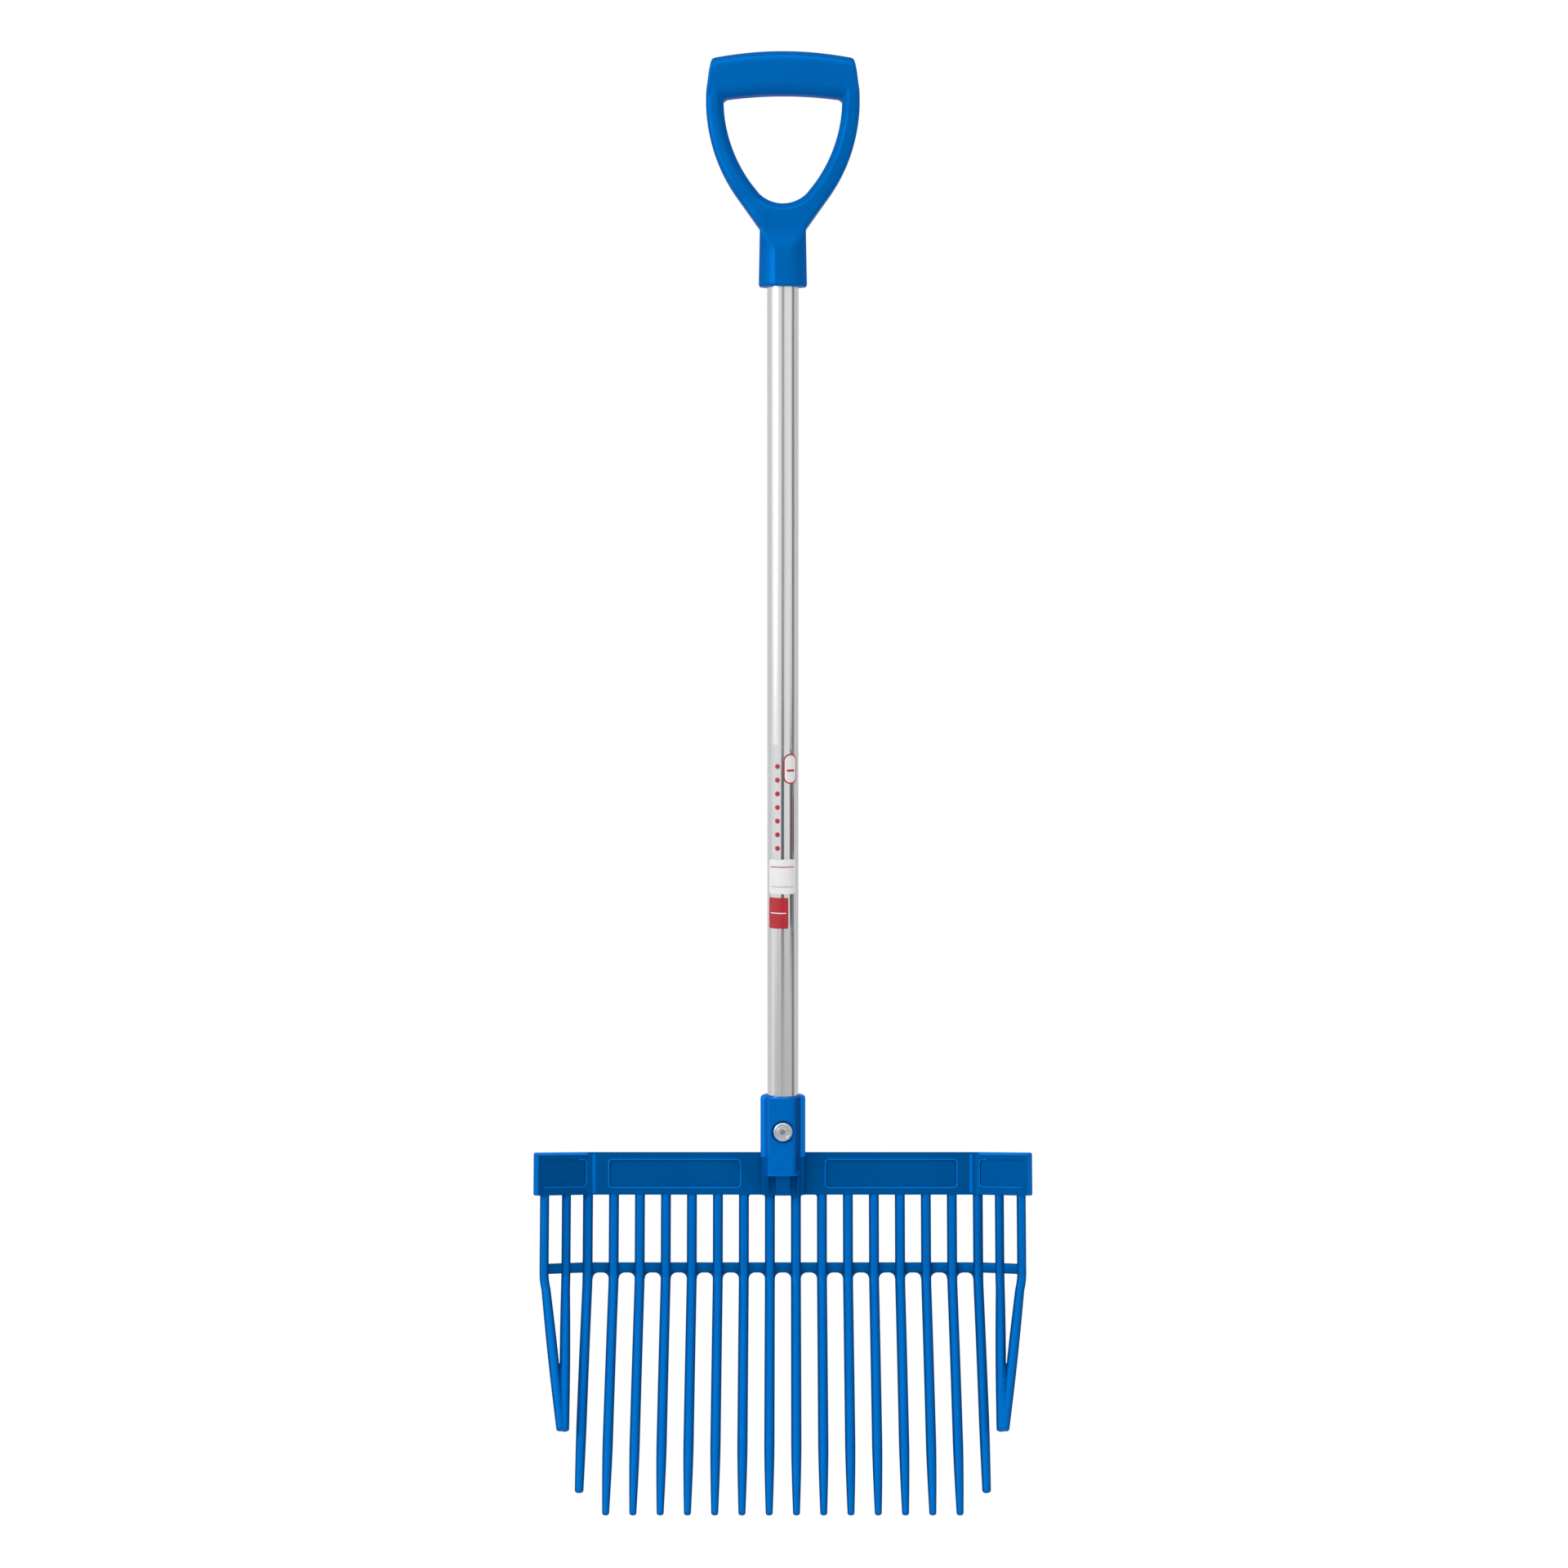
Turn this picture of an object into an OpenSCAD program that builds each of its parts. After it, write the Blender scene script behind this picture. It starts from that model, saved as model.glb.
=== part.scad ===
// Bedding fork: a D grip, an aluminium shaft and a one-piece moulded basket head with twenty tines.
// Millimetres. +Z runs up the shaft and -Y is the open side of the basket. The origin is the
// underside of the grip's bar, where a hand or a hook carries the fork.

/* [Shaft] */
// Outer diameter of the shaft tube
tube_d = 25.4; // [24:0.1:28]
// Wall of the shaft tube
tube_wall = 1.5; // [1:0.1:2.5]
// Length of bare tube between the grip and the head
tube_bare = 649.5; // [400:0.5:1100]
// Gap all round between the tube and the sockets that hold it
tube_fit = 0.1; // [0.05:0.05:0.3]

/* [Grip] */
// Width of the grip across its arms
grip_w = 121; // [114:1:130]
// Height of the hand opening
hand_h = 85; // [76:1:88]
// Height of the hand bar
bar_h = 34; // [28:1:36]
// Depth of the hand bar, front to back
bar_depth = 27; // [23:1:32]
// Radius of the hand bar's arch
bar_arch_r = 300; // [220:10:600]
// Width of one arm, seen from the front
arm_w = 13.4; // [12:0.2:16]
// Depth of one arm, front to back
arm_depth = 22; // [18:1:25]
// Radius of the outer sweep of each arm
arm_r = 126; // [120:1:132]
// Diameter of the grip's socket at its mouth
grip_mouth_d = 38.6; // [36:0.2:42]
// Diameter of the grip's socket at its neck
grip_neck_d = 36.4; // [34:0.2:40]
// Depth of tube held in the grip
grip_hold = 50; // [42:1:52]

/* [Head] */
// Distance between tine centres
tine_pitch = 21.2; // [18:0.1:24]
// Thickness of a floor tine
tine_d = 8.2; // [7:0.1:9.5]
// Thickness of a wing tine
wing_tine_d = 7.2; // [6:0.1:8.5]
// Thickness of a floor tine at its blunt tip
tip_d = 5.4; // [4:0.1:6]
// Thickness of the fold tines and wing tines at their blunt tips
side_tip_d = 6.8; // [5:0.1:7]
// Length of the tapered end of a tine
taper_len = 58; // [30:1:80]
// Length of the long floor tines below the heel
floor_len = 199; // [150:1:240]
// Length of the tine at each fold below the heel
fold_len = 181; // [140:1:230]
// Length of the wing tines below the heel
wing_len = 129; // [100:1:138]
// Lean of the back wall to the shaft
back_lean = 11; // [4:0.5:16]
// Lean of the floor to the shaft at the heel
heel_lean = 44; // [30:1:50]
// Lean of the floor to the shaft at the tips
tip_lean = 35; // [25:1:40]
// Radius of the tines' bend at the heel
heel_r = 20; // [12:1:24]
// Angle that the wings fold forward
wing_fold = 38; // [25:1:45]
// Width of a wing past the fold
wing_w = 51.4; // [50:0.2:58]
// Height of the plate
plate_h = 34.5; // [30:0.5:42]
// Thickness of the plate
plate_t = 7; // [5.5:0.1:8]
// Height of the back wall, from the plate's top edge to the heel
wall_h = 104.5; // [98:0.5:130]
// Height of the crossbar
rail_h = 8.2; // [6:0.1:10]
// Thickness of the crossbar
rail_t = 6; // [5.5:0.1:8]
// Distance from the crossbar's lower edge to the heel
rail_drop = 7; // [7:0.1:10]
// Width of the head's socket across its side flanges
socket_d = 36.5; // [34:0.1:40]
// Depth of tube held in the head
head_hold = 63.5; // [56:0.5:70]
// Distance from the socket's mouth down to the plate's top edge
socket_rise = 49.5; // [42:0.5:52]

/* [Fasteners] */
// Thread diameter of the head's through bolt
bolt_d = 6; // [5:0.5:8]
// Diameter of the bolt's flat head
bolt_head_d = 15.4; // [13:0.1:16]
// Thickness of the bolt's flat head
bolt_head_t = 2.6; // [2:0.1:3]
// Width across the flats of the bolt's hex recess
bolt_key = 4; // [3:0.5:5]
// Distance from the socket's mouth down to the bolt
bolt_drop = 28; // [26:0.5:36]
// Width across the flats of the lock nut
nut_w = 10; // [9:0.5:11]
// Thickness of the lock nut
nut_t = 6; // [5:0.1:7]
// Diameter of the washer under the nut
washer_d = 12.4; // [12:0.1:14]
// Thickness of the washer under the nut
washer_t = 1.6; // [1:0.1:2]
// Gap all round a fastener in its hole
bolt_fit = 0.2; // [0.1:0.05:0.4]
// Diameter of the grip's fixing screw
screw_d = 4; // [3.5:0.1:4.5]
// Diameter of the fixing screw's head
screw_head_d = 8; // [7:0.1:9]

/* [Label] */
// Length of the clear film round the shaft
film_len = 150; // [100:1:200]
// Thickness of the film
film_t = 0.15; // [0.1:0.05:0.3]
// Distance from the grip's mouth down to the film
film_drop = 364; // [150:1:380]

/* [Hidden] */
$fn = 64;
blue = "#0068b8";
steel = "#b8bcc0";
far = 400;

// Heights along the shaft
arm_mid_z = -5;
arm_grow = 2.4;
neck_len = 64.8;
grip_mouth_z = -hand_h - neck_len;
head_mouth_z = grip_mouth_z - tube_bare;
tube_top_z = grip_mouth_z + grip_hold;
tube_low_z = head_mouth_z - head_hold;
bolt_z = head_mouth_z - bolt_drop;
plate_top_z = head_mouth_z - socket_rise;
tube_r = tube_d / 2;
bore_r = tube_r + tube_fit;

// Grip outline: both arms are arcs about points beyond the shaft, thicken downwards, and run on straight to the neck
arm_x = grip_w / 2 - arm_r;
arm_turn = 36;
arm_in_r = arm_r - arm_w;
arm_round = 6;
inner_mid_z = arm_mid_z + arm_grow;
hand_drop = hand_h + inner_mid_z;
crotch_r = (arm_in_r ^ 2 - arm_x ^ 2 - hand_drop ^ 2) / (2 * (arm_in_r - hand_drop));
crotch_z = crotch_r - hand_h;
arm_end = [arm_x + arm_r * cos(arm_turn), arm_mid_z - arm_r * sin(arm_turn)];
arm_run = (arm_end[0] - grip_neck_d / 2) / sin(arm_turn);
neck_z = arm_end[1] - arm_run * cos(arm_turn);
bar_round = 11;
neck_depth = 2 * bore_r + 5;
neck_round = 5;
neck_lap = 3;
seam = 0.6;
arm_steps = 7;
neck_steps = 4;
flare_len = 24;
mouth_round = 2;
screw_z = grip_mouth_z + 20;

// Back wall: the tines' centres lie on it, and its lean brings its foot forward
wall_y = 9;
fold_x = 7.5 * tine_pitch;
floor_turn = heel_lean - back_lean;
heel_tan = heel_r * tan(floor_turn / 2);
tine_r = tine_d / 2;
wing_tine_r = wing_tine_d / 2;
tip_round = 1.5;
tine_sides = 12;
heel_steps = 4;
floor_steps = 4;
wing_in = [fold_x + tine_pitch * cos(wing_fold), -tine_pitch * sin(wing_fold)];
wing_out = [fold_x + 2 * tine_pitch * cos(wing_fold), -2 * tine_pitch * sin(wing_fold)];
wing_tip_x = wing_in[0] - 3;
notch_fit = 0.02;
arch_r = min(5, (tine_pitch - tine_d) / 2 - 0.2);
panel_in = 34.5;
panel_out = 142;
panel_margin = 5.8;
panel_sink = 1.2;
pocket_sink = 2.4;
pocket_lip = 5;
fold_gap = 4;

// Head socket
socket_r = socket_d / 2;
socket_floor = 3.6;
socket_low_z = tube_low_z - socket_floor;
barrel_r = bore_r + 1.8;
face_y = bore_r + 2.8;
face_w = 22.4;
flange_t = 11;
rib_w = 11.4;
seat_front = bore_r + 1.6;
seat_r = bolt_head_d / 2 + 0.8;
seat_back = barrel_r + 1.4;
bolt_len = seat_front + seat_back + washer_t + nut_t + 2;

// A rectangle with round corners, centred
module rounded(size, r) {
    square([size[0] - 2 * r, size[1]], center = true);
    square([size[0], size[1] - 2 * r], center = true);
    for (sx = [-1, 1], sy = [-1, 1])
        translate([sx * (size[0] / 2 - r), sy * (size[1] / 2 - r)]) circle(r);
}

// A round hole along Y
module cross_hole(r, y0, y1, z) {
    translate([0, y1, z]) rotate([90, 0, 0]) cylinder(r = r, h = y1 - y0);
}

// Points round a rectangle with round corners, as [across, back]
function corner_ring(w, d, r) = [for (c = [0 : 3], k = [0 : 4])
    let (turn = c * 90 + k * 22.5, sx = c == 0 || c == 3 ? 1 : -1, sy = c < 2 ? 1 : -1)
    [sx * (w / 2 - r) + r * cos(turn), sy * (d / 2 - r) + r * sin(turn)]];

// A solid through rings that all have the same number of points
module loft(rings) {
    n = len(rings[0]);
    last = len(rings) - 1;
    polyhedron([for (ring = rings, p = ring) p], concat(
        [[for (k = [0 : n - 1]) k]],
        [[for (k = [n - 1 : -1 : 0]) last * n + k]],
        [for (i = [0 : last - 1], k = [0 : n - 1])
            [i * n + k, (i + 1) * n + k, (i + 1) * n + (k + 1) % n, i * n + (k + 1) % n]]
    ));
}

// The grip's hand bar: an arched bar of rounded section, whose ends lean in with the arms
module hand_bar() {
    mid_r = bar_arch_r + bar_h / 2;
    rise = bar_h / 2 - arm_mid_z;
    reach = arm_x + sqrt(arm_r ^ 2 - rise ^ 2) - seam;
    lean = rise / sqrt(arm_r ^ 2 - rise ^ 2);
    loft([for (t = [-1, -0.96, -0.7, -0.35, 0, 0.35, 0.7, 0.96, 1])
        let (trim = abs(t) == 1 ? 2.4 : 0, z = sqrt(mid_r ^ 2 - (t * reach) ^ 2) - bar_arch_r)
        [for (p = corner_ring(bar_h - trim, bar_depth - trim, bar_round))
            [t * (reach - lean * p[0]), -p[1], z + p[0]]]]);
}

// One arm's section, between a point on its inner edge and one on its outer edge, both as [X, Z]
function arm_ring(inner, outer, depth, r) = let (mid = (inner + outer) / 2, w = norm(outer - inner),
    way = (outer - inner) / w)
    [for (p = corner_ring(w, depth, r)) [mid[0] + way[0] * p[0], -p[1], mid[1] + way[1] * p[0]]];

// One arm of the grip with its half of the Y neck: down the arc, then round the crotch to the socket
module grip_arm() {
    top_turn = asin((bar_h - 9 - arm_mid_z) / arm_r);
    centre = [arm_x, arm_mid_z];
    inner_centre = [arm_x, inner_mid_z];
    crotch = [0, crotch_z];
    tangent = atan2(inner_mid_z - crotch_z, -arm_x);
    neck_in = [-grip_neck_d / 6, neck_z + neck_lap];
    neck_out = [grip_neck_d / 2, neck_z];
    loft(concat(
        [for (i = [0 : arm_steps]) let (a = top_turn - (top_turn + arm_turn) * i / arm_steps, way = [cos(a), sin(a)])
            arm_ring(inner_centre + arm_in_r * way, centre + arm_r * way, arm_depth, arm_round)],
        [for (j = [1 : neck_steps]) let (a = -tangent - (90 - tangent) * j / neck_steps, t = j / (neck_steps + 1))
            arm_ring(crotch + crotch_r * [cos(a), sin(a)], arm_end + t * (neck_out - arm_end),
                     arm_depth + t * (neck_depth - seam - arm_depth), arm_round)],
        [arm_ring(neck_in, neck_out - [seam / 2, 0], neck_depth - seam, neck_round),
         arm_ring(neck_in - [0, 2 * neck_lap], neck_out - [seam / 2, neck_lap], neck_depth - seam, neck_round)]
    ));
}

// The neck below the Y, which changes from flat-sided to round
module grip_neck() {
    loft([for (i = [0 : neck_steps]) let (t = i / neck_steps)
        [for (p = corner_ring(grip_neck_d, neck_depth + t * (grip_neck_d - neck_depth),
                              neck_round + t * (grip_neck_d / 2 - neck_round) * 0.999))
            [p[0], -p[1], neck_z - flare_len * t]]]);
}

// The grip's socket: a slight cone with a rounded mouth
module grip_socket() {
    top = neck_z - flare_len + neck_lap - grip_mouth_z;
    mouth_r = grip_mouth_d / 2;
    neck_r = grip_neck_d / 2 + seam;
    translate([0, 0, grip_mouth_z]) rotate_extrude() {
        polygon([[0, mouth_round], [mouth_r, mouth_round], [neck_r, top], [0, top]]);
        square([mouth_r - mouth_round, mouth_round + 1]);
        translate([mouth_r - mouth_round, mouth_round]) circle(mouth_round);
    }
}

module d_grip() {
    color(blue) difference() {
        union() {
            hand_bar();
            grip_arm();
            mirror([1, 0, 0]) grip_arm();
            grip_neck();
            grip_socket();
        }
        translate([0, 0, grip_mouth_z - 1]) cylinder(r = bore_r, h = grip_hold + 1.3);
        cross_hole(screw_d / 2 + bolt_fit, 0, far, screw_z);
        cross_hole(screw_head_d / 2 + bolt_fit, bore_r + 2.6, far, screw_z);
    }
}

// Pan-head screw through the back of the grip's socket into the tube
module grip_screw() {
    head_t = 2.4;
    seat = bore_r + 2.6;
    color(steel) difference() {
        union() {
            cross_hole(screw_d / 2, tube_r - tube_wall - 4, seat + 0.1, screw_z);
            cross_hole(screw_head_d / 2, seat, seat + head_t, screw_z);
        }
        for (turn = [0, 90])
            translate([0, seat + head_t, screw_z]) rotate([0, turn, 0])
                cube([screw_head_d * 0.55, 2, 0.9], center = true);
    }
}

module shaft_tube() {
    color("#c9ccd0") difference() {
        translate([0, 0, tube_low_z]) cylinder(r = tube_r, h = tube_top_z - tube_low_z);
        translate([0, 0, tube_low_z - 1]) cylinder(r = tube_r - tube_wall, h = tube_top_z - tube_low_z + 2);
        cross_hole(bolt_d / 2 + bolt_fit, -far, far, bolt_z);
        cross_hole(screw_d / 2 + bolt_fit, 0, far, screw_z);
    }
}

// Moulded plug that fills the tube's lower end, so that the bolt can't crush it
module shaft_plug() {
    plug_r = tube_r - tube_wall - tube_fit;
    plug_h = head_hold - 6;
    color("#3a3d40") difference() {
        translate([0, 0, tube_low_z]) cylinder(r = plug_r, h = plug_h);
        cross_hole(bolt_d / 2 + bolt_fit, -far, far, bolt_z);
        translate([0, 0, bolt_z + 10]) cylinder(r = plug_r - 2.5, h = plug_h);
    }
}

module label_film() {
    gap = 0.02;
    color("#e6e9ec", 0.5) translate([0, 0, grip_mouth_z - film_drop - film_len]) difference() {
        cylinder(r = tube_r + gap + film_t, h = film_len);
        translate([0, 0, -1]) cylinder(r = tube_r + gap, h = film_len + 2);
    }
}

// Places what follows on the back wall: X across, Y back, Z up the wall from the plate's top edge
module on_wall() {
    translate([0, wall_y, plate_top_z]) rotate([-back_lean, 0, 0]) children();
}

// Places what follows on the right wing, at a distance past the fold
module on_wing(along) {
    translate([fold_x, 0, 0]) rotate([0, 0, -wing_fold]) translate([along, 0, 0]) children();
}

module both_sides() {
    children();
    mirror([1, 0, 0]) children();
}

// Right half of a line that runs at distance d behind the tines' centres, out to the end of a wing
function half_line(d, reach) = [
    [fold_x + d * tan(wing_fold / 2), d],
    [fold_x + reach * cos(wing_fold) + d * sin(wing_fold), d * cos(wing_fold) - reach * sin(wing_fold)]
];
function mirrored(points) = [for (i = [len(points) - 1 : -1 : 0]) [-points[i][0], points[i][1]]];
function reversed(points) = [for (i = [len(points) - 1 : -1 : 0]) points[i]];
function whole_line(d, reach) = concat(mirrored(half_line(d, reach)), half_line(d, reach));

// A strip that follows the wall and both wings, between two distances behind the tines' centres
module bent_strip(front, back, reach, height) {
    linear_extrude(height)
        polygon(concat(whole_line(front, reach), reversed(whole_line(back, reach))));
}

// A solid of round rings along a path of points, one radius for each
module round_sweep(points, radii, sides) {
    last = len(points) - 1;
    loft([for (i = [0 : last])
        let (way = points[min(i + 1, last)] - points[max(i - 1, 0)],
             along = way / norm(way),
             across = [1, 0, 0] - along[0] * along,
             u = across / norm(across),
             v = cross(along, u))
        [for (k = [0 : sides - 1])
            points[i] + radii[i] * (cos(360 * k / sides) * u + sin(360 * k / sides) * v)]]);
}

// The floor's line below the wall, as [Y, Z] at a distance along it: round the heel, then easing to the tip
heel_start = [0, heel_tan - wall_h];
heel_end = heel_start - heel_r * [1 - cos(floor_turn), sin(floor_turn)];
floor_r = (floor_len - heel_tan) * 180 / PI / (heel_lean - tip_lean);
function floor_point(s) = let (a = floor_turn - s / floor_r * 180 / PI)
    heel_end + floor_r * [cos(floor_turn) - cos(a), sin(a) - sin(floor_turn)];

// Distances and radii along a tine's floor, down to its blunt tip
function tine_stations(run) = concat(
    [for (i = [1 : floor_steps]) (run - taper_len) * i / floor_steps],
    [run - taper_len / 2, run - tip_round, run - tip_round / 3, run]
);
function tine_radius(s, run, r, tip_r) = let (t = max(0, 1 - (run - s) / taper_len), full = r + (tip_r - r) * t)
    s > run - tip_round ? full - tip_round + sqrt(tip_round ^ 2 - (s - run + tip_round) ^ 2) * 0.999 : full;

// A floor tine from the plate's lower edge: down the wall, round the heel and out along the floor
module floor_tine(length, tip_r) {
    run = length - heel_tan;
    stations = tine_stations(run);
    path = concat(
        [[0, -plate_h], heel_start],
        [for (i = [1 : heel_steps]) let (a = floor_turn * i / heel_steps) heel_start - heel_r * [1 - cos(a), sin(a)]],
        [for (s = stations) floor_point(s)]
    );
    radii = concat([for (i = [0 : heel_steps + 1]) tine_r], [for (s = stations) tine_radius(s, run, tine_r, tip_r)]);
    round_sweep([for (p = path) [0, p[0], p[1]]], radii, tine_sides);
}

// One wing's two tines, which meet in one blunt tip and wall the side of the basket
module wing_pair() {
    run = wing_len - heel_tan;
    tip = [wing_tip_x, wing_in[1] + floor_point(run)[0], floor_point(run)[1]];
    end_r = side_tip_d / 2;
    end_gap = 1.2;
    inner = concat(
        [[wing_in[0], wing_in[1], -plate_h], [wing_in[0], wing_in[1], heel_start[1]]],
        [for (i = [0 : floor_steps]) let (s = run * i / floor_steps, f = floor_point(s))
            [wing_in[0] + (wing_tip_x - end_gap - wing_in[0]) * s / run, wing_in[1] + f[0], f[1]]]
    );
    outer = [[wing_out[0], wing_out[1], -plate_h], [wing_out[0], wing_out[1], heel_start[1]],
             [wing_out[0] - 1.8, wing_out[1] - 1.6, heel_end[1]], tip + [end_gap, -0.6, 1]];
    round_sweep(inner, [for (i = [0 : len(inner) - 1]) i < len(inner) - 1 ? wing_tine_r : end_r], tine_sides);
    round_sweep(outer, [wing_tine_r, wing_tine_r, wing_tine_r, end_r], tine_sides);
}

module floor_tines() {
    color(blue) on_wall() both_sides()
        for (k = [0 : 6]) translate([(k + 0.5) * tine_pitch, 0, 0]) floor_tine(floor_len, tip_d / 2);
}

module fold_tines() {
    color(blue) on_wall() both_sides() translate([fold_x, 0, 0]) floor_tine(fold_len, side_tip_d / 2);
}

module wing_tines() {
    color(blue) on_wall() both_sides() wing_pair();
}

// The crossbar behind the tines, notched round each of them, with arches between the floor tines
module crossbar() {
    low = rail_drop - wall_h;
    color(blue) on_wall() difference() {
        union() {
            translate([0, 0, low]) bent_strip(0, rail_t, 2 * tine_pitch + wing_tine_r, rail_h);
            translate([0, rail_t - 0.5, low]) rotate([90, 0, 0]) linear_extrude(rail_t - 1)
                for (k = [-7 : 7]) translate([k * tine_pitch, 0]) arch_corners();
        }
        both_sides() {
            for (k = [0 : 7]) notch([(k + 0.5) * tine_pitch, 0], tine_r);
            for (p = [wing_in, wing_out]) notch(p, wing_tine_r);
        }
    }
}

module notch(p, r) {
    translate([p[0], p[1], -wall_h - far / 8]) cylinder(r = r + notch_fit, h = far / 4);
}

// The two rounded corners over one gap between tines
module arch_corners() {
    half = tine_pitch / 2;
    gap = half - tine_r;
    difference() {
        translate([-half, -arch_r]) square([tine_pitch, arch_r + 1]);
        translate([-gap, -arch_r - 1]) square([2 * gap, 1]);
        translate([arch_r - gap, -arch_r - 1]) square([2 * (gap - arch_r), arch_r + 1]);
        for (side = [-1, 1]) translate([side * (gap - arch_r), -arch_r]) circle(arch_r);
    }
}

// The plate with its shallow panels and the wings' pockets
module plate() {
    front = -tine_r;
    difference() {
        translate([0, 0, -plate_h]) bent_strip(front, front + plate_t, wing_w, plate_h);
        both_sides() {
            translate([(panel_in + panel_out) / 2, front + panel_sink, -plate_h / 2]) rotate([90, 0, 0])
                linear_extrude(far / 8) rounded([panel_out - panel_in, plate_h - 2 * panel_margin], 3);
            on_wing((wing_w - pocket_lip + fold_gap) / 2) translate([0, front + pocket_sink, -plate_h / 2])
                rotate([90, 0, 0]) linear_extrude(far / 8)
                    rounded([wing_w - pocket_lip - fold_gap, plate_h - 2 * pocket_lip], 2);
        }
    }
}

// The socket: a barrel with a flat face in front, two side flanges and a boss for the nut at the back
module head_socket() {
    edge = 1.2;
    foot_z = plate_top_z - plate_h * cos(back_lean) + 1.5;
    barrel_h = head_mouth_z - socket_low_z;
    translate([0, 0, socket_low_z]) {
        rotate_extrude() {
            square([barrel_r, barrel_h - edge]);
            square([barrel_r - edge, barrel_h]);
            translate([barrel_r - edge, barrel_h - edge]) circle(edge);
        }
        linear_extrude(barrel_h) polygon([[-face_w / 2 - 3.2, 0], [-face_w / 2 - 3.2, -flange_t / 2], [-face_w / 2 - 1, -face_y + 1],
            [-face_w / 2, -face_y], [face_w / 2, -face_y], [face_w / 2 + 1, -face_y + 1],
            [face_w / 2 + 3.2, -flange_t / 2], [face_w / 2 + 3.2, 0]]);
    }
    translate([0, flange_t / 2, 0]) rotate([90, 0, 0]) linear_extrude(flange_t) flange_outline(foot_z, 3);
    cross_hole(washer_d / 2 + 2, 0, seat_back, bolt_z);
    rotate([90, 0, 90]) linear_extrude(rib_w, center = true)
        polygon([[-face_y + 3, socket_low_z + 0.5], [4, socket_low_z + 0.5], [4, foot_z], [-flange_t / 2 - 1.5, foot_z]]);
}

// The flanges' outline, seen from the front: two side bands that join above the barrel's foot
module flange_outline(foot_z, r) {
    band = 4.5;
    difference() {
        union() {
            translate([-socket_r, foot_z]) square([socket_d, head_mouth_z - foot_z - r - 0.5]);
            translate([-socket_r + r, foot_z]) square([socket_d - 2 * r, head_mouth_z - foot_z - 0.5]);
            for (side = [-1, 1]) translate([side * (socket_r - r), head_mouth_z - r - 0.5]) circle(r);
        }
        translate([-socket_r + band + 4, foot_z - 1]) square([socket_d - 2 * band - 8, socket_low_z - foot_z + 1.5]);
        translate([-socket_r + band, foot_z - 1]) square([socket_d - 2 * band, socket_low_z - foot_z - 2.5]);
        for (side = [-1, 1]) translate([side * (socket_r - band - 4), socket_low_z - 3.5]) circle(4);
    }
}

module head_plate() {
    color(blue) difference() {
        union() {
            on_wall() plate();
            head_socket();
        }
        translate([0, 0, tube_low_z - 0.2]) cylinder(r = bore_r, h = far);
        cross_hole(bolt_d / 2 + bolt_fit, -far, far, bolt_z);
        cross_hole(seat_r, -far, -seat_front, bolt_z);
        translate([0, -face_y + 0.8, bolt_z]) rotate([90, 0, 0]) cylinder(r1 = seat_r, r2 = seat_r + 2, h = 2);
    }
}

// Flat-headed connector bolt with a bevelled rim and a hex recess
module head_bolt() {
    bevel = 0.8;
    color(steel) translate([0, -seat_front, bolt_z]) rotate([90, 0, 0]) difference() {
        union() {
            rotate_extrude() polygon([[0, 0], [bolt_head_d / 2, 0], [bolt_head_d / 2, bolt_head_t - bevel],
                                      [bolt_head_d / 2 - bevel, bolt_head_t], [0, bolt_head_t]]);
            translate([0, 0, -bolt_len]) cylinder(d = bolt_d, h = bolt_len + 0.1);
        }
        translate([0, 0, bolt_head_t - 1.8]) cylinder(d = bolt_key / cos(30), h = 2, $fn = 6);
    }
}

module head_washer() {
    color(steel) difference() {
        cross_hole(washer_d / 2, seat_back, seat_back + washer_t, bolt_z);
        cross_hole(bolt_d / 2 + bolt_fit, 0, far, bolt_z);
    }
}

// Lock nut: a hex body with a round collar that holds a nylon ring
collar_t = 2;
ring_r = bolt_d / 2 + 1.2;

module head_nut() {
    under = seat_back + washer_t;
    color(steel) difference() {
        union() {
            translate([0, under, bolt_z]) rotate([-90, 0, 0]) cylinder(d = nut_w / cos(30), h = nut_t - collar_t, $fn = 6);
            cross_hole(nut_w / 2 - 0.2, under, under + nut_t, bolt_z);
        }
        cross_hole(bolt_d / 2 + 0.05, 0, far, bolt_z);
        cross_hole(ring_r, under + nut_t - collar_t + 0.3, under + nut_t - 0.3, bolt_z);
    }
}

module nut_insert() {
    under = seat_back + washer_t;
    color("#2b62b0") difference() {
        cross_hole(ring_r - 0.02, under + nut_t - collar_t + 0.32, under + nut_t - 0.32, bolt_z);
        cross_hole(bolt_d / 2 + 0.05, 0, far, bolt_z);
    }
}

d_grip();
grip_screw();
shaft_tube();
shaft_plug();
label_film();
head_plate();
crossbar();
floor_tines();
fold_tines();
wing_tines();
head_bolt();
head_washer();
head_nut();
nut_insert();
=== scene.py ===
from math import asin, atan2, cos, hypot, pi, radians, sin, sqrt, tan
import bpy
import bmesh
from mathutils import Matrix, Vector


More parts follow.
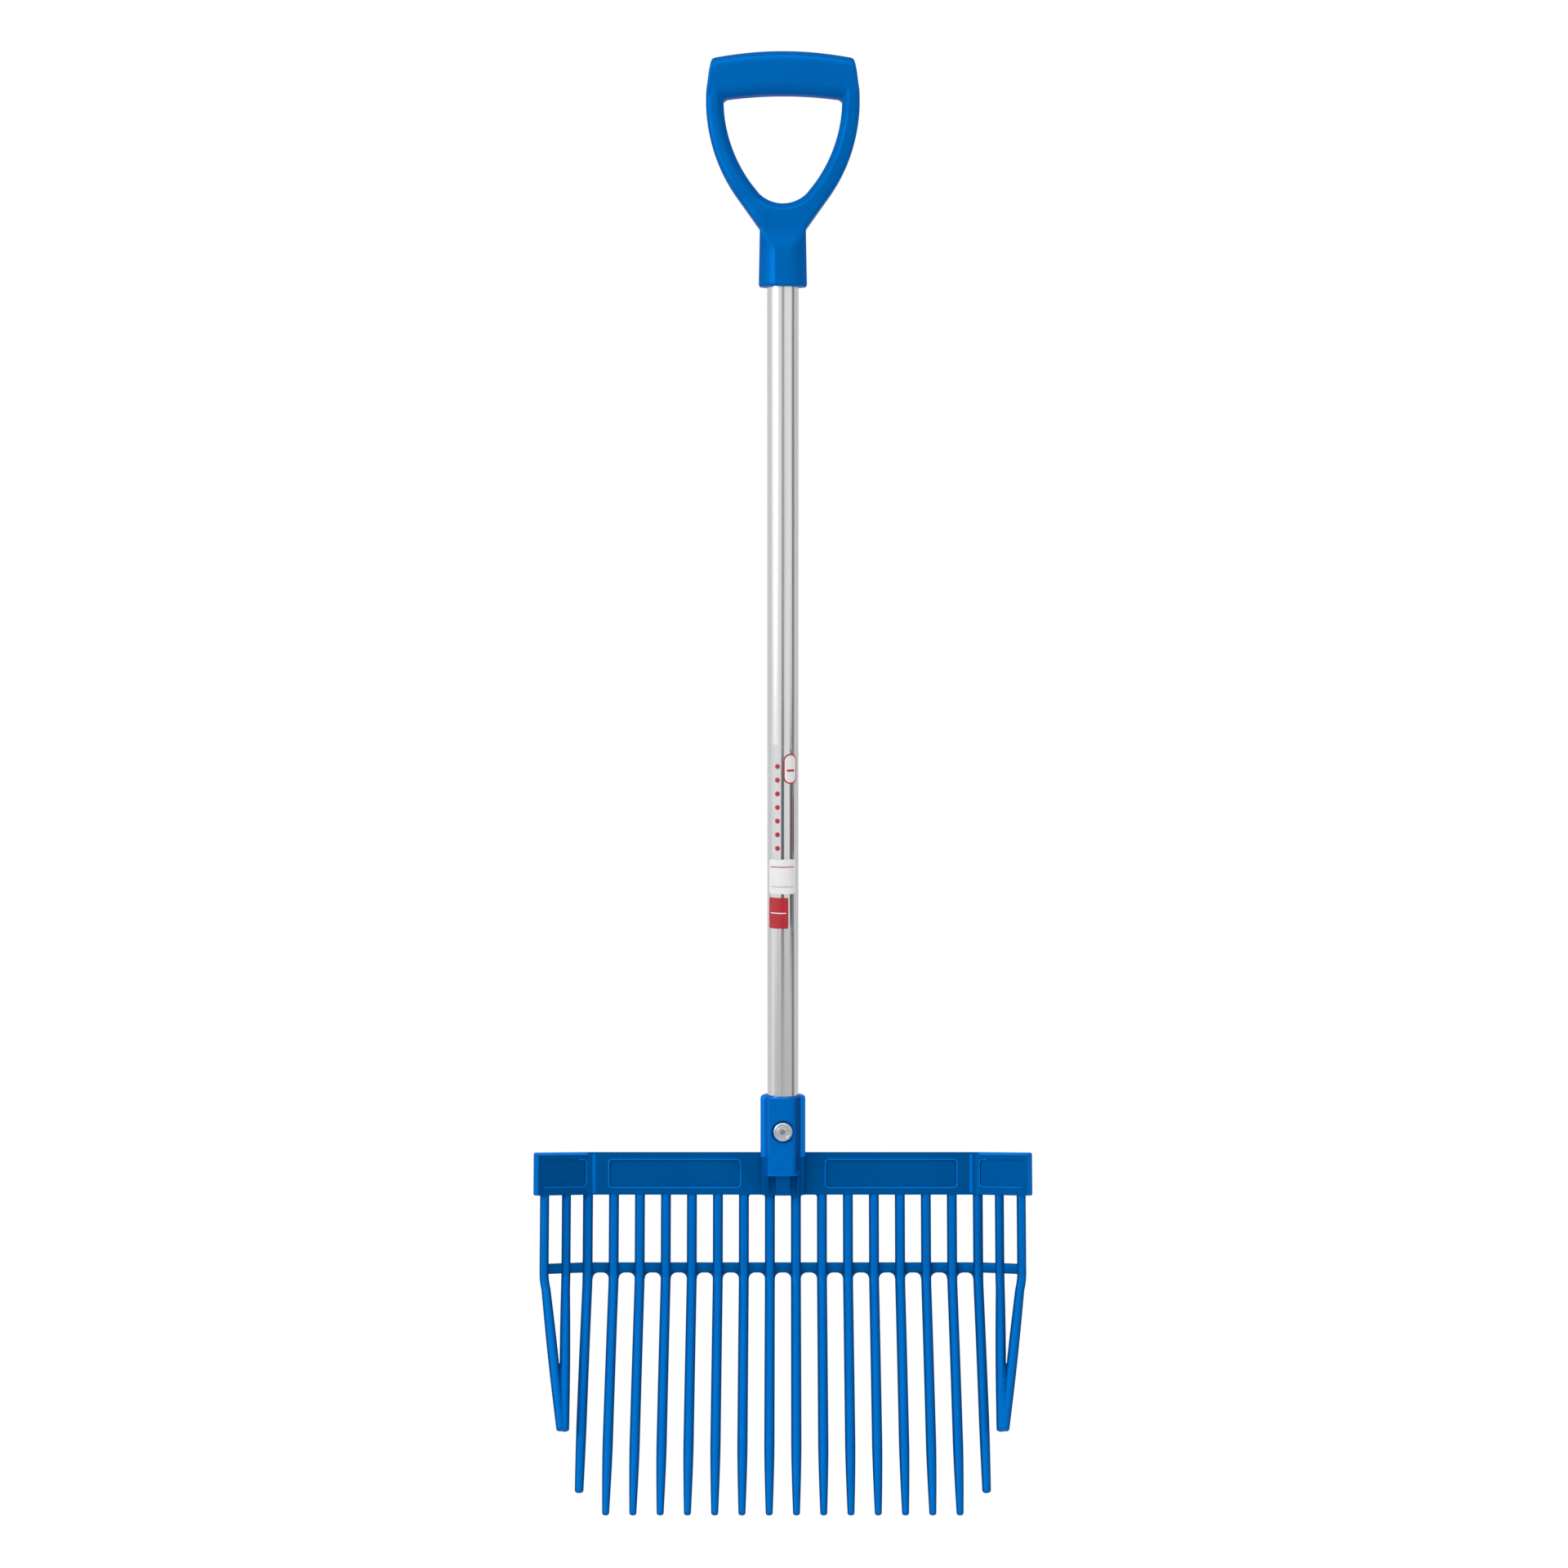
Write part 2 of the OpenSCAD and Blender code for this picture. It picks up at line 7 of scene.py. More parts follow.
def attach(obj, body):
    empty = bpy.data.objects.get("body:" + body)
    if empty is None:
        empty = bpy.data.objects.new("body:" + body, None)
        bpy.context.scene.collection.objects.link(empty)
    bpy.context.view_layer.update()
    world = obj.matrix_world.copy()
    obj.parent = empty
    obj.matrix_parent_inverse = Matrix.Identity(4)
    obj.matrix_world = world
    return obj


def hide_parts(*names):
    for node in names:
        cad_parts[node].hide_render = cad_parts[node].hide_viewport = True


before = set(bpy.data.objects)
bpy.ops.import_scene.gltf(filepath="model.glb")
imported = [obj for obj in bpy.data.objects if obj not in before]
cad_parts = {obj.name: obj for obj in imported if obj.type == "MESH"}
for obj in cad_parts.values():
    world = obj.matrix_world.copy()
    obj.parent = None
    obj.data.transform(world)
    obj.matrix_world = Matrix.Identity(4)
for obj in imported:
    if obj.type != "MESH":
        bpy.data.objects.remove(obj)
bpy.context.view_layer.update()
scene = bpy.context.scene
mm = 0.001  # the fork's sizes are in millimetres, the stage's in metres
softFactor = 0.5  # how far towards its neighbours a round of smoothing moves a point


# mesh helpers

def addObject(name, data):
    added = bpy.data.objects.new(name, data)
    scene.collection.objects.link(added)
    return added


def newPiece(name, verts, faces):
    mesh = bpy.data.meshes.new(name)
    mesh.from_pydata([tuple(v) for v in verts], [], faces)
    mesh.update()
    return addObject(name, mesh)


def bakePiece(piece):
    graph = bpy.context.evaluated_depsgraph_get()
    mesh = bpy.data.meshes.new_from_object(piece.evaluated_get(graph))
    old = piece.data
    piece.modifiers.clear()
    piece.data = mesh
    mesh.name = piece.name
    bpy.data.meshes.remove(old)
    return piece


def dropPiece(piece):
    data = piece.data
    bpy.data.objects.remove(piece)
    if isinstance(data, bpy.types.Curve):
        bpy.data.curves.remove(data)
    else:
        bpy.data.meshes.remove(data)


def paint(piece, *finishes):
    piece.data.materials.clear()
    for finish in finishes:
        piece.data.materials.append(finish)
    return piece


def editMesh(piece, change):
    bm = bmesh.new()
    bm.from_mesh(piece.data)
    change(bm)
    bm.to_mesh(piece.data)
    bm.free()
    return piece


def tidyNormals(piece, join=1e-6):
    def mergeAndTurn(bm):
        bmesh.ops.remove_doubles(bm, verts=bm.verts, dist=join)
        bmesh.ops.recalc_face_normals(bm, faces=bm.faces)
    return editMesh(piece, mergeAndTurn)


def calmRegion(piece, inside, rounds):
    def smoothSome(bm):
        chosen = [v for v in bm.verts if inside(v.co / mm)]
        for _ in range(rounds):
            bmesh.ops.smooth_vert(bm, verts=chosen, factor=softFactor,
                                  use_axis_x=True, use_axis_y=True, use_axis_z=True)
    return editMesh(piece, smoothSome)


def smoothPiece(piece, angle):
    piece.data.shade_smooth()
    piece.data.set_sharp_from_angle(angle=radians(angle))
    return piece


def combine(piece, tool, operation):
    step = piece.modifiers.new("combine", "BOOLEAN")
    step.operation = operation
    step.solver = "EXACT"
    step.object = tool
    bakePiece(piece)
    dropPiece(tool)
    return piece


def weld(piece, tool):
    return combine(piece, tool, "UNION")


def cut(piece, tool):
    return combine(piece, tool, "DIFFERENCE")


def joinPieces(name, pieces):
    verts, faces = [], []
    for piece in pieces:
        start = len(verts)
        verts += [v.co.copy() for v in piece.data.vertices]
        faces += [[start + k for k in face.vertices] for face in piece.data.polygons]
        dropPiece(piece)
    return newPiece(name, verts, faces)


def blendSolids(piece, voxel, rounds, fill):
    step = piece.modifiers.new("skin", "REMESH")
    step.mode = "VOXEL"
    step.voxel_size = voxel * mm
    soft = piece.modifiers.new("soften", "SMOOTH")
    soft.factor, soft.iterations = softFactor, rounds
    full = piece.modifiers.new("fill", "DISPLACE")  # gives back what smoothing takes off
    full.mid_level, full.strength = 0, fill * mm
    return bakePiece(piece)


def softenEdges(piece, width, angle, slot=-1):
    step = piece.modifiers.new("edges", "BEVEL")
    step.width = width * mm
    step.segments = 2
    step.limit_method = "ANGLE"
    step.angle_limit = radians(angle)
    step.material = slot
    return bakePiece(piece)


# outlines and solids

def circle(sides):
    turns = [2 * pi * k / sides for k in range(sides)]
    return [(cos(a), sin(a)) for a in turns]


def arc(cx, cy, r, start, end, steps):
    turns = [radians(start + (end - start) * k / steps) for k in range(steps + 1)]
    return [(cx + r * cos(a), cy + r * sin(a)) for a in turns]


def cornerRing(w, d, r, steps=6):
    return [p for k, (sx, sy) in enumerate(((1, 1), (-1, 1), (-1, -1), (1, -1)))
            for p in arc(sx * (w / 2 - r), sy * (d / 2 - r), r, 90 * k, 90 * k + 90, steps)]


def level(outline, z):
    return [(x, y, z) for x, y in outline]


def mirrored(points, side=-1):
    return [(side * x, *rest) for x, *rest in points]


def sideFaces(n, rows):
    return [[i * n + k, i * n + (k + 1) % n, j * n + (k + 1) % n, j * n + k] for i, j in rows for k in range(n)]


def loft(name, rings):
    n, last = len(rings[0]), len(rings) - 1
    verts = [Vector(p) * mm for ring in rings for p in ring]
    caps = [list(range(n))[::-1], list(range(last * n, (last + 1) * n))]
    return tidyNormals(newPiece(name, verts, caps + sideFaces(n, [(i, i + 1) for i in range(last)])))


def prism(name, outline, low, high, matrix=Matrix()):
    return loft(name, [[matrix @ Vector(p) for p in level(outline, z)] for z in (low, high)])


def spin(name, profile, sides, matrix=Matrix()):
    return loft(name, [[matrix @ Vector((r * c, r * s, z)) for c, s in circle(sides)] for r, z in profile])


def eased(t):
    t = min(1, max(0, t))
    return t * t * (3 - 2 * t)


def shift(x, y, z):
    return Matrix.Translation((x, y, z))


bothSides = (Matrix(), Matrix.Scale(-1, 4, (1, 0, 0)))
faceFront = Matrix.Rotation(radians(90), 4, "X")  # turns a flat outline to face the open side
faceBack = Matrix.Rotation(radians(-90), 4, "X")
alongX = Matrix(((0, 0, 1, 0), (1, 0, 0, 0), (0, 1, 0, 0), (0, 0, 0, 1)))  # draws a side outline out across the fork


# node helpers

def feed(tree, socket, value):
    if isinstance(value, bpy.types.NodeSocket):
        tree.links.new(value, socket)
    else:
        socket.default_value = value


def setInputs(tree, node, values):
    for socket, value in values.items():
        feed(tree, node.inputs[socket], value)
    return node


def addNode(tree, kind, values, **settings):
    node = tree.nodes.new(kind)
    for name, setting in settings.items():
        setattr(node, name, setting)
    return setInputs(tree, node, values)


def nodeOut(tree, kind, values, **settings):
    return addNode(tree, kind, values, **settings).outputs[0]


def mathStep(tree, operation, *values):
    return nodeOut(tree, "ShaderNodeMath", dict(enumerate(values)), operation=operation)


def axisOf(tree, vector, axis):
    return addNode(tree, "ShaderNodeSeparateXYZ", {"Vector": vector}).outputs[axis]


def grain(tree, place, scale, detail=3, stretch=None):
    if stretch:
        place = nodeOut(tree, "ShaderNodeMapping", {"Vector": place, "Scale": stretch})
    return nodeOut(tree, "ShaderNodeTexNoise", {"Vector": place, "Scale": scale, "Detail": detail})


def spread(tree, value, low, high, fromLow=0.3, fromHigh=0.7):
    values = {"Value": value, "From Min": fromLow, "From Max": fromHigh, "To Min": low, "To Max": high}
    return nodeOut(tree, "ShaderNodeMapRange", values)


def blendColours(tree, factor, a, b):
    mix = addNode(tree, "ShaderNodeMix", {"Factor": factor}, data_type="RGBA")
    first, second = [s for s in mix.inputs if s.type == "RGBA"]
    feed(tree, first, a)
    feed(tree, second, b)
    return [s for s in mix.outputs if s.type == "RGBA"][0]


def addBump(tree, shader, height, look):
    values = {"Height": height, "Strength": look["bump"], "Distance": look["bumpDeep"]}
    feed(tree, shader.inputs["Normal"], nodeOut(tree, "ShaderNodeBump", values))


def glossOf(tree, pattern, dull, look):
    return spread(tree, pattern, dull - look["shinier"], dull + look["duller"])


# finishes

plastic = {"cloud": 16, "fleck": 260, "fleckFrom": (0.58, 0.72), "fleckMost": 0.2, "fleckLight": 1.12,
           "sideShadeFrom": (0.5, 0.92), "gloss": 90, "shinier": 0.04, "duller": 0.05, "skin": 1500, "bump": 0.02,
           "bumpDeep": 0.0002, "specular": 0.02, "tint": 1.2}
tubing = {"lines": 900, "stretch": (1, 1, 0.004), "dark": 0.88, "shinier": 0.04, "duller": 0.06, "underFilm": 0.35,
          "bump": 0.04, "bumpDeep": 0.0002}
plating = {"tone": 700, "dark": 0.66, "gloss": 1500, "shinier": 0.08, "duller": 0.12, "rough": 1300, "roughDetail": 3,
           "bump": 0.25, "bumpDeep": 0.0003, "metal": 1}
plain = {"dark": 0.9, "shinier": 0.05, "duller": 0.05, "roughDetail": 2, "bump": 0.05, "bumpDeep": 0.0002, "metal": 0}
moulding = {**plain, "tone": 700, "gloss": 350, "rough": 1400}
printing = {**plain, "tone": 500, "gloss": 250, "rough": 1000}
clear = {"haze": 45, "stretch": (1, 1, 0.3), "light": (0.86, 0.88, 0.9, 1), "dark": (0.74, 0.76, 0.78, 1),
         "gloss": (0.05, 0.16), "bump": 0.12, "bumpDeep": 0.0006, "alpha": 0.06}


def linearColour(r, g, b):
    def channel(v):  # the usual screen curve
        v /= 255
        return v / 12.92 if v <= 0.04045 else ((v + 0.055) / 1.055) ** 2.4
    return (channel(r), channel(g), channel(b), 1)


def shade(colour, amount):
    return tuple(c * amount for c in colour[:3]) + (1,)


def newFinish(name):
    finish = bpy.data.materials.new(name)
    finish.use_nodes = True
    return finish, finish.node_tree, finish.node_tree.nodes["Principled BSDF"]


def objectPlace(tree):
    return tree.nodes.new("ShaderNodeTexCoord").outputs["Object"]


def mouldedBlue(name, light, deep, dull, pearl=0.3, sideShade=0):
    finish, tree, shader = newFinish(name)
    place = objectPlace(tree)
    light, deep = linearColour(*light), linearColour(*deep)
    cloud = spread(tree, grain(tree, place, plastic["cloud"], 4), 0, 1)
    fleck = spread(tree, grain(tree, place, plastic["fleck"], 2), 0, plastic["fleckMost"], *plastic["fleckFrom"])
    colour = blendColours(tree, cloud, light, deep)
    colour = blendColours(tree, fleck, colour, shade(light, plastic["fleckLight"]))  # faint swirl of pigment
    if sideShade:  # painted shade: darker on the sides that face left and right
        sideFacing = mathStep(tree, "ABSOLUTE", axisOf(tree, place.node.outputs["Normal"], "X"))
        colour = blendColours(tree, spread(tree, sideFacing, 0, 1, *plastic["sideShadeFrom"]), colour, shade(deep, sideShade))
    gloss = glossOf(tree, grain(tree, place, plastic["gloss"], 5), dull, plastic)
    setInputs(tree, shader, {"Base Color": colour, "Roughness": gloss, "Metallic": pearl,  # keeps the highlights blue
                             "Specular IOR Level": plastic["specular"], "Specular Tint": shade(light, plastic["tint"])})
    addBump(tree, shader, grain(tree, place, plastic["skin"], 2), plastic)
    return finish


def drawnMetal(name, coverLow, coverHigh, colour, dull):
    finish, tree, shader = newFinish(name)
    place = objectPlace(tree)
    streak = grain(tree, place, tubing["lines"], 4, tubing["stretch"])  # drawing lines run along the tube
    tone = blendColours(tree, spread(tree, streak, 0, 1), colour, shade(colour, tubing["dark"]))
    middle, half = (coverLow + coverHigh) / 2 * mm, (coverHigh - coverLow) / 2 * mm
    under = mathStep(tree, "COMPARE", axisOf(tree, place, "Z"), middle, half)
    filled = spread(tree, under, 1, tubing["underFilm"], 0, 1)  # smoother where the film's glue fills the lines
    gloss = mathStep(tree, "MULTIPLY", glossOf(tree, streak, dull, tubing), filled)
    setInputs(tree, shader, {"Base Color": tone, "Roughness": gloss, "Metallic": 1})
    addBump(tree, shader, streak, tubing)
    return finish


def speckled(name, look, colour, dull):
    finish, tree, shader = newFinish(name)
    place = objectPlace(tree)
    tone = spread(tree, grain(tree, place, look["tone"], 4), 0, 1)
    tone = blendColours(tree, tone, colour, shade(colour, look["dark"]))
    gloss = glossOf(tree, grain(tree, place, look["gloss"]), dull, look)
    setInputs(tree, shader, {"Base Color": tone, "Roughness": gloss, "Metallic": look["metal"]})
    addBump(tree, shader, grain(tree, place, look["rough"], look["roughDetail"]), look)
    return finish


def clearFilm(name):
    finish, tree, shader = newFinish(name)
    haze = grain(tree, objectPlace(tree), clear["haze"], 3, clear["stretch"])
    tone = blendColours(tree, spread(tree, haze, 0, 1), clear["light"], clear["dark"])
    gloss = spread(tree, haze, *clear["gloss"])
    setInputs(tree, shader, {"Base Color": tone, "Roughness": gloss, "Alpha": clear["alpha"]})
    addBump(tree, shader, haze, clear)
    return finish


headBlue = mouldedBlue("headBlue", light=(1, 108, 195), deep=(1, 103, 187), dull=0.36)
# the tines carry painted shade on their sides
tineBlue = mouldedBlue("tineBlue", light=(2, 105, 189), deep=(1, 101, 183), dull=0.4, pearl=0.14, sideShade=0.34)
# painted shade: a darker copy of the head's blue, for faces that stand in shadow
plateBlue = mouldedBlue("plateBlue", light=(0, 84, 150), deep=(0, 80, 144), dull=0.4)
# painted shade: a darker copy of the head's blue, for the crossbar, the rib and the gussets
railBlue = mouldedBlue("railBlue", light=(0, 88, 158), deep=(0, 84, 151), dull=0.4)
# painted highlight: a lighter copy of the head's blue, for edges, lips and beads
edgeBlue = mouldedBlue("edgeBlue", light=(8, 124, 218), deep=(6, 118, 208), dull=0.34)
gripBlue = mouldedBlue("gripBlue", light=(1, 97, 174), deep=(1, 93, 168), dull=0.4, pearl=0.25)
boltSteel = speckled("boltSteel", plating, (0.68, 0.71, 0.75, 1), dull=0.34)
keySteel = speckled("keySteel", plating, (0.33, 0.38, 0.46, 1), dull=0.4)
plugBlack = speckled("plugBlack", moulding, (0.03, 0.03, 0.032, 1), dull=0.55)
ringNylon = speckled("ringNylon", moulding, linearColour(40, 98, 176), dull=0.5)
labelClear = clearFilm("labelClear")
labelRed = speckled("labelRed", printing, linearColour(178, 26, 40), dull=0.3)
labelWhite = speckled("labelWhite", printing, (0.8, 0.8, 0.81, 1), dull=0.34)
labelGrey = speckled("labelGrey", printing, (0.3, 0.31, 0.33, 1), dull=0.34)
print("finishes made")


# rows: a shape, or a rod swept along a path, copied along a line

rodSides = 24
rowInputs = {"Shape": "Object", "Step": "Vector", "Count": "Int", "Sides": "Int", "Finish": "Material"}


def rowTree(name, swept):
    tree = bpy.data.node_groups.new(name, "GeometryNodeTree")
    sockets = {}
    for title, kind in rowInputs.items():
        made = tree.interface.new_socket(title, in_out="INPUT", socket_type="NodeSocket" + kind)
        sockets[title] = made.identifier
    tree.interface.new_socket("Geometry", in_out="OUTPUT", socket_type="NodeSocketGeometry")
    given = tree.nodes.new("NodeGroupInput").outputs
    unit = addNode(tree, "GeometryNodeObjectInfo", {"Object": given["Shape"]}).outputs["Geometry"]
    if swept:
        ring = nodeOut(tree, "GeometryNodeCurvePrimitiveCircle", {"Resolution": given["Sides"], "Radius": 1})
        thick = tree.nodes.new("GeometryNodeInputRadius").outputs["Radius"]
        values = {"Curve": unit, "Profile Curve": ring, "Scale": thick, "Fill Caps": True}
        unit = nodeOut(tree, "GeometryNodeCurveToMesh", values)
    back = mathStep(tree, "MULTIPLY_ADD", given["Count"], -0.5, 0.5)  # the first copy stands half the row's length back
    start = nodeOut(tree, "ShaderNodeVectorMath", {0: given["Step"], "Scale": back}, operation="SCALE")
    line = {"Count": given["Count"], "Start Location": start, "Offset": given["Step"]}
    points = nodeOut(tree, "GeometryNodeMeshLine", line)
    copies = nodeOut(tree, "GeometryNodeInstanceOnPoints", {"Points": points, "Instance": unit})
    whole = nodeOut(tree, "GeometryNodeRealizeInstances", {"Geometry": copies})
    painted = nodeOut(tree, "GeometryNodeSetMaterial", {"Geometry": whole, "Material": given["Finish"]})
    addNode(tree, "NodeGroupOutput", {"Geometry": painted})
    return tree, sockets


sweptRow = rowTree("tineRow", True)
copiedRow = rowTree("archRow", False)


def makeRow(name, kind, shape, step, count, finish):
    tree, sockets = kind
    piece = newPiece(name, [], [])
    row = piece.modifiers.new("row", "NODES")
    row.node_group = tree
    given = {"Shape": shape, "Step": [v * mm for v in step], "Count": count, "Sides": rodSides, "Finish": finish}
    for title, value in given.items():
        row[sockets[title]] = value
    bakePiece(piece)
    dropPiece(shape)
    return tidyNormals(piece)


def sweepRod(name, path, finish):
    return makeRow(name, sweptRow, path, (0, 0, 0), 1, finish)


# hand grip

grip = {"w": 121, "handH": 85, "barH": 34, "barDepth": 27, "barR": 8.5, "archR": 300, "endInset": 0.3,
        "armW": 13.4, "armGrow": 2.4, "armR": 126, "armMidZ": -5, "armDepth": 22, "armTurn": 36, "armTopDrop": 14,
        "neckW": 36.4, "neckDepth": 30.6, "neckGrow": 0.9, "neckR": 2.5, "flareLen": 20, "flatW": 11.8, "bulge": 0.45,
        "mouthW": 38.4, "mouthZ": -149.8, "mouthRoll": ((0.5, 2), (0.9, 0.9), (1.9, 0.45), (3, 0.25)),
        "boreR": 12.72, "boreDeep": 50.2, "boreOut": 2, "screwY": 15.4, "screwUp": 20, "screwR": 4.2, "screwOut": 6,
        "voxel": 0.7, "rounds": 3, "fill": 0.2}
# changes along the arm: the height where each starts, over how far, and by how much
armChange = {"shoulder": (-24, 26, 5.6), "fade": (4, 16, 2.2), "swell": (-40, -39, 4), "sink": (4, 14, 1.2)}
armSide = ((0, 5), (0.5, 4), (4.4, 0.5), (5.3, 0))  # section from the opening to the ridge: across, in from the face
armFace = {"ridge": 6.4, "ridgeIn": 0.1, "slope": 0.75, "slopeIn": 0.9, "edgeIn": 1.2, "edgeR": 2.6, "edgeGrow": 1.4}
throat = {"share": 0.6, "below": 10, "flatten": 0.9, "overlap": 2, "coreW": 18, "coreIn": 3, "coreR": 6, "coreUp": 12,
          "lap": 1}
web = {"inX": 45.2, "outX": 48.4, "top": -2.5, "low": -5.4, "r": 2, "half": 8.5}  # rounds the corners of the opening
calm = {"end": (53.5, -9, 14), "crotch": (19, -92, -72, 6), "throat": (-2, 14, 5)}  # limits, then rounds of smoothing


def armRing(inner, outer, depth, crown=1):
    w = (outer - inner).length
    way, half = (outer - inner) / w, depth / 2
    r = armFace["edgeR"] + armFace["edgeGrow"] * crown
    face = [*armSide, (armFace["ridge"], armFace["ridgeIn"] * crown),
            (armFace["slope"] * w, armFace["slopeIn"] * crown)]
    face += [(w + x, y) for x, y in arc(-r, r + armFace["edgeIn"] * crown, r, -90, 0, 5)]
    front = [(a, d - half) for a, d in face]
    ring = [(0, 0), *front, (w, 0)] + [(a, -d) for a, d in reversed(front)]
    return [(inner.x + way.x * a, d, inner.y + way.y * a) for a, d in ring]


def gradual(z, change):
    start, span, amount = armChange[change]
    return amount * eased((z - start) / span)


def facetRing(w, d, r, bulge):
    steps = 8
    ring = [Vector(p) for p in cornerRing(w, d, r, steps)]
    curves = [ring[k:k + steps + 1] for k in range(0, len(ring), steps + 1)]
    return [curve[0].lerp(curve[-1], i / steps).lerp(p, bulge) for curve in curves for i, p in enumerate(curve)]


def gripArm():
    armX = grip["w"] / 2 - grip["armR"]
    centre = Vector((armX, grip["armMidZ"]))
    innerCentre = centre + Vector((0, grip["armGrow"]))
    innerR = grip["armR"] - grip["armW"]
    drop = grip["handH"] + innerCentre.y
    crotchR = (innerR ** 2 - armX ** 2 - drop ** 2) / (2 * (innerR - drop))
    crotch = Vector((0, crotchR - grip["handH"]))
    turn = radians(grip["armTurn"])
    end = centre + grip["armR"] * Vector((cos(turn), -sin(turn)))
    neckOut = Vector((grip["neckW"] / 2, end.y - (end.x - grip["neckW"] / 2) / tan(turn)))
    top = asin((grip["barH"] - grip["armTopDrop"] - grip["armMidZ"]) / grip["armR"])
    tangent = atan2(innerCentre.y - crotch.y, -armX)
    armSteps, throatSteps = 24, 21
    rings = []
    for i in range(armSteps + 1):  # stands proud of the bar, and sinks into it half way up
        a = top - (top + turn) * i / armSteps
        way = Vector((cos(a), sin(a)))
        outer = centre + (grip["armR"] - gradual(grip["armMidZ"] + grip["armR"] * way.y, "sink")) * way
        depth = grip["armDepth"] + gradual(outer.y, "shoulder") - gradual(outer.y, "fade") + gradual(outer.y, "swell")
        rings.append(armRing(innerCentre + innerR * way, outer, depth))
    share, below = throat["share"], Vector((0, neckOut.y - throat["below"]))
    more = grip["neckDepth"] - 2 * grip["fill"] - depth
    for j in range(1, throatSteps + 1):  # turns round the crotch until the sections stand upright at the middle
        t = j / throatSteps
        a = -tangent - (pi / 2 - tangent) * t
        inner = crotch + crotchR * Vector((cos(a), sin(a)))
        outer = end.lerp(neckOut, t / share) if t < share else neckOut.lerp(below, (t - share) / (1 - share))
        grow = eased(t / share)  # the crowned arm becomes as deep and as flat as the socket
        rings.append(armRing(inner, outer, depth + grow * more, 1 - throat["flatten"] * grow))
    rings.append([(x - throat["overlap"], y, z) for x, y, z in rings[-1]])
    return rings, neckOut.y


def gripBar():
    armX, midR, skin = grip["w"] / 2 - grip["armR"], grip["archR"] + grip["barH"] / 2, 2 * grip["fill"]

    def endX(z):  # the ends curve like the arms
        return armX + sqrt(grip["armR"] ** 2 - (z - grip["armMidZ"]) ** 2) - grip["endInset"]

    section = cornerRing(grip["barH"] - skin, grip["barDepth"] - skin, grip["barR"], 8)
    barSteps, endSteps, endLeft = 32, 8, 0.4
    rings = []
    for i in range(-endSteps, barSteps + endSteps + 1):  # the first and last few shrink, and close the ends
        t = max(-1, min(1, -1 + 2 * i / barSteps))
        size = 1 - max(0, -i, i - barSteps) / (endSteps + endLeft)
        z = sqrt(midR ** 2 - (t * endX(grip["barH"] / 2)) ** 2) - grip["archR"]
        rings.append([(t * endX(z + a * size), b * size, z + a * size) for a, b in section])
    return rings


def gripNeck(neckZ):
    skin, steps, sharpR = 2 * grip["fill"], 12, grip["neckR"]
    core = cornerRing(throat["coreW"], grip["neckDepth"] - throat["coreIn"], throat["coreR"], 8)
    rings = [level(core, neckZ + throat["coreUp"])]
    for i in range(steps + 1):
        t = i / steps
        ease = eased(t)
        w = grip["neckW"] - skin + grip["neckGrow"] * t
        r = sharpR + ((w - grip["flatW"]) / 2 - sharpR) * ease
        depth = grip["neckDepth"] - skin + (w + skin - grip["neckDepth"]) * ease
        ring = facetRing(w, depth, r, 1 - (1 - grip["bulge"]) * ease)
        rings.append(level(ring, neckZ + throat["lap"] - grip["flareLen"] * t))
    for less, up in grip["mouthRoll"]:
        w = grip["mouthW"] - less
        rings.append(level(facetRing(w, w, (w - grip["flatW"]) / 2, grip["bulge"]), grip["mouthZ"] + up))
    return rings


def makeGrip():
    armRings, neckZ = gripArm()
    corner = [(web["outX"], web["top"]), (web["inX"], web["top"])]
    corner += arc(web["inX"], web["low"], web["r"], 90, 0, 5) + [(web["outX"], web["low"])]
    solids = [loft("bar", gripBar()), loft("neck", gripNeck(neckZ))]
    for side in (1, -1):
        solids.append(loft("arm", [mirrored(ring, side) for ring in armRings]))
        solids.append(prism("corner", mirrored(corner, side), -web["half"], web["half"], faceFront))
    piece = blendSolids(joinPieces("handGrip", solids), grip["voxel"], grip["rounds"], grip["fill"])
    # smoother where the arms sink into the bar's ends, round the crotch, and where the arms run into the socket
    endX, endZ, rounds = calm["end"]
    calmRegion(piece, lambda p: abs(p.x) > endX and p.z > endZ, rounds)
    crotchX, crotchLow, crotchTop, rounds = calm["crotch"]
    calmRegion(piece, lambda p: abs(p.x) < crotchX and crotchLow < p.z < crotchTop, rounds)
    throatLow, throatTop, rounds = calm["throat"]
    calmRegion(piece, lambda p: throatLow < p.z - neckZ < throatTop, rounds)
    mouth, r = grip["mouthZ"], grip["boreR"]
    cut(piece, spin("bore", ((r, mouth - grip["boreOut"]), (r, mouth + grip["boreDeep"])), 64))
    seat = shift(0, grip["screwY"], mouth + grip["screwUp"]) @ faceBack
    cut(piece, spin("screwSeat", ((grip["screwR"], 0), (grip["screwR"], grip["screwOut"])), 32, seat))
    return smoothPiece(paint(piece, gripBlue), angle=45)


handGrip = makeGrip()
print("hand grip made", len(handGrip.data.polygons))


# shaft with its label

shaft = {"r": 12.7, "wall": 1.5, "top": -99.8, "low": -862.8, "edge": 0.3, "sides": 96}
label = {"top": -513.8, "low": -663.8, "gap": 0.02, "film": 0.15, "edge": 0.05, "proud": 0.03, "ink": 0.04, "cols": 40}
dots = {"turns": (-29, -11), "heights": (-566, -562), "r": 2, "step": 11, "count": 7}
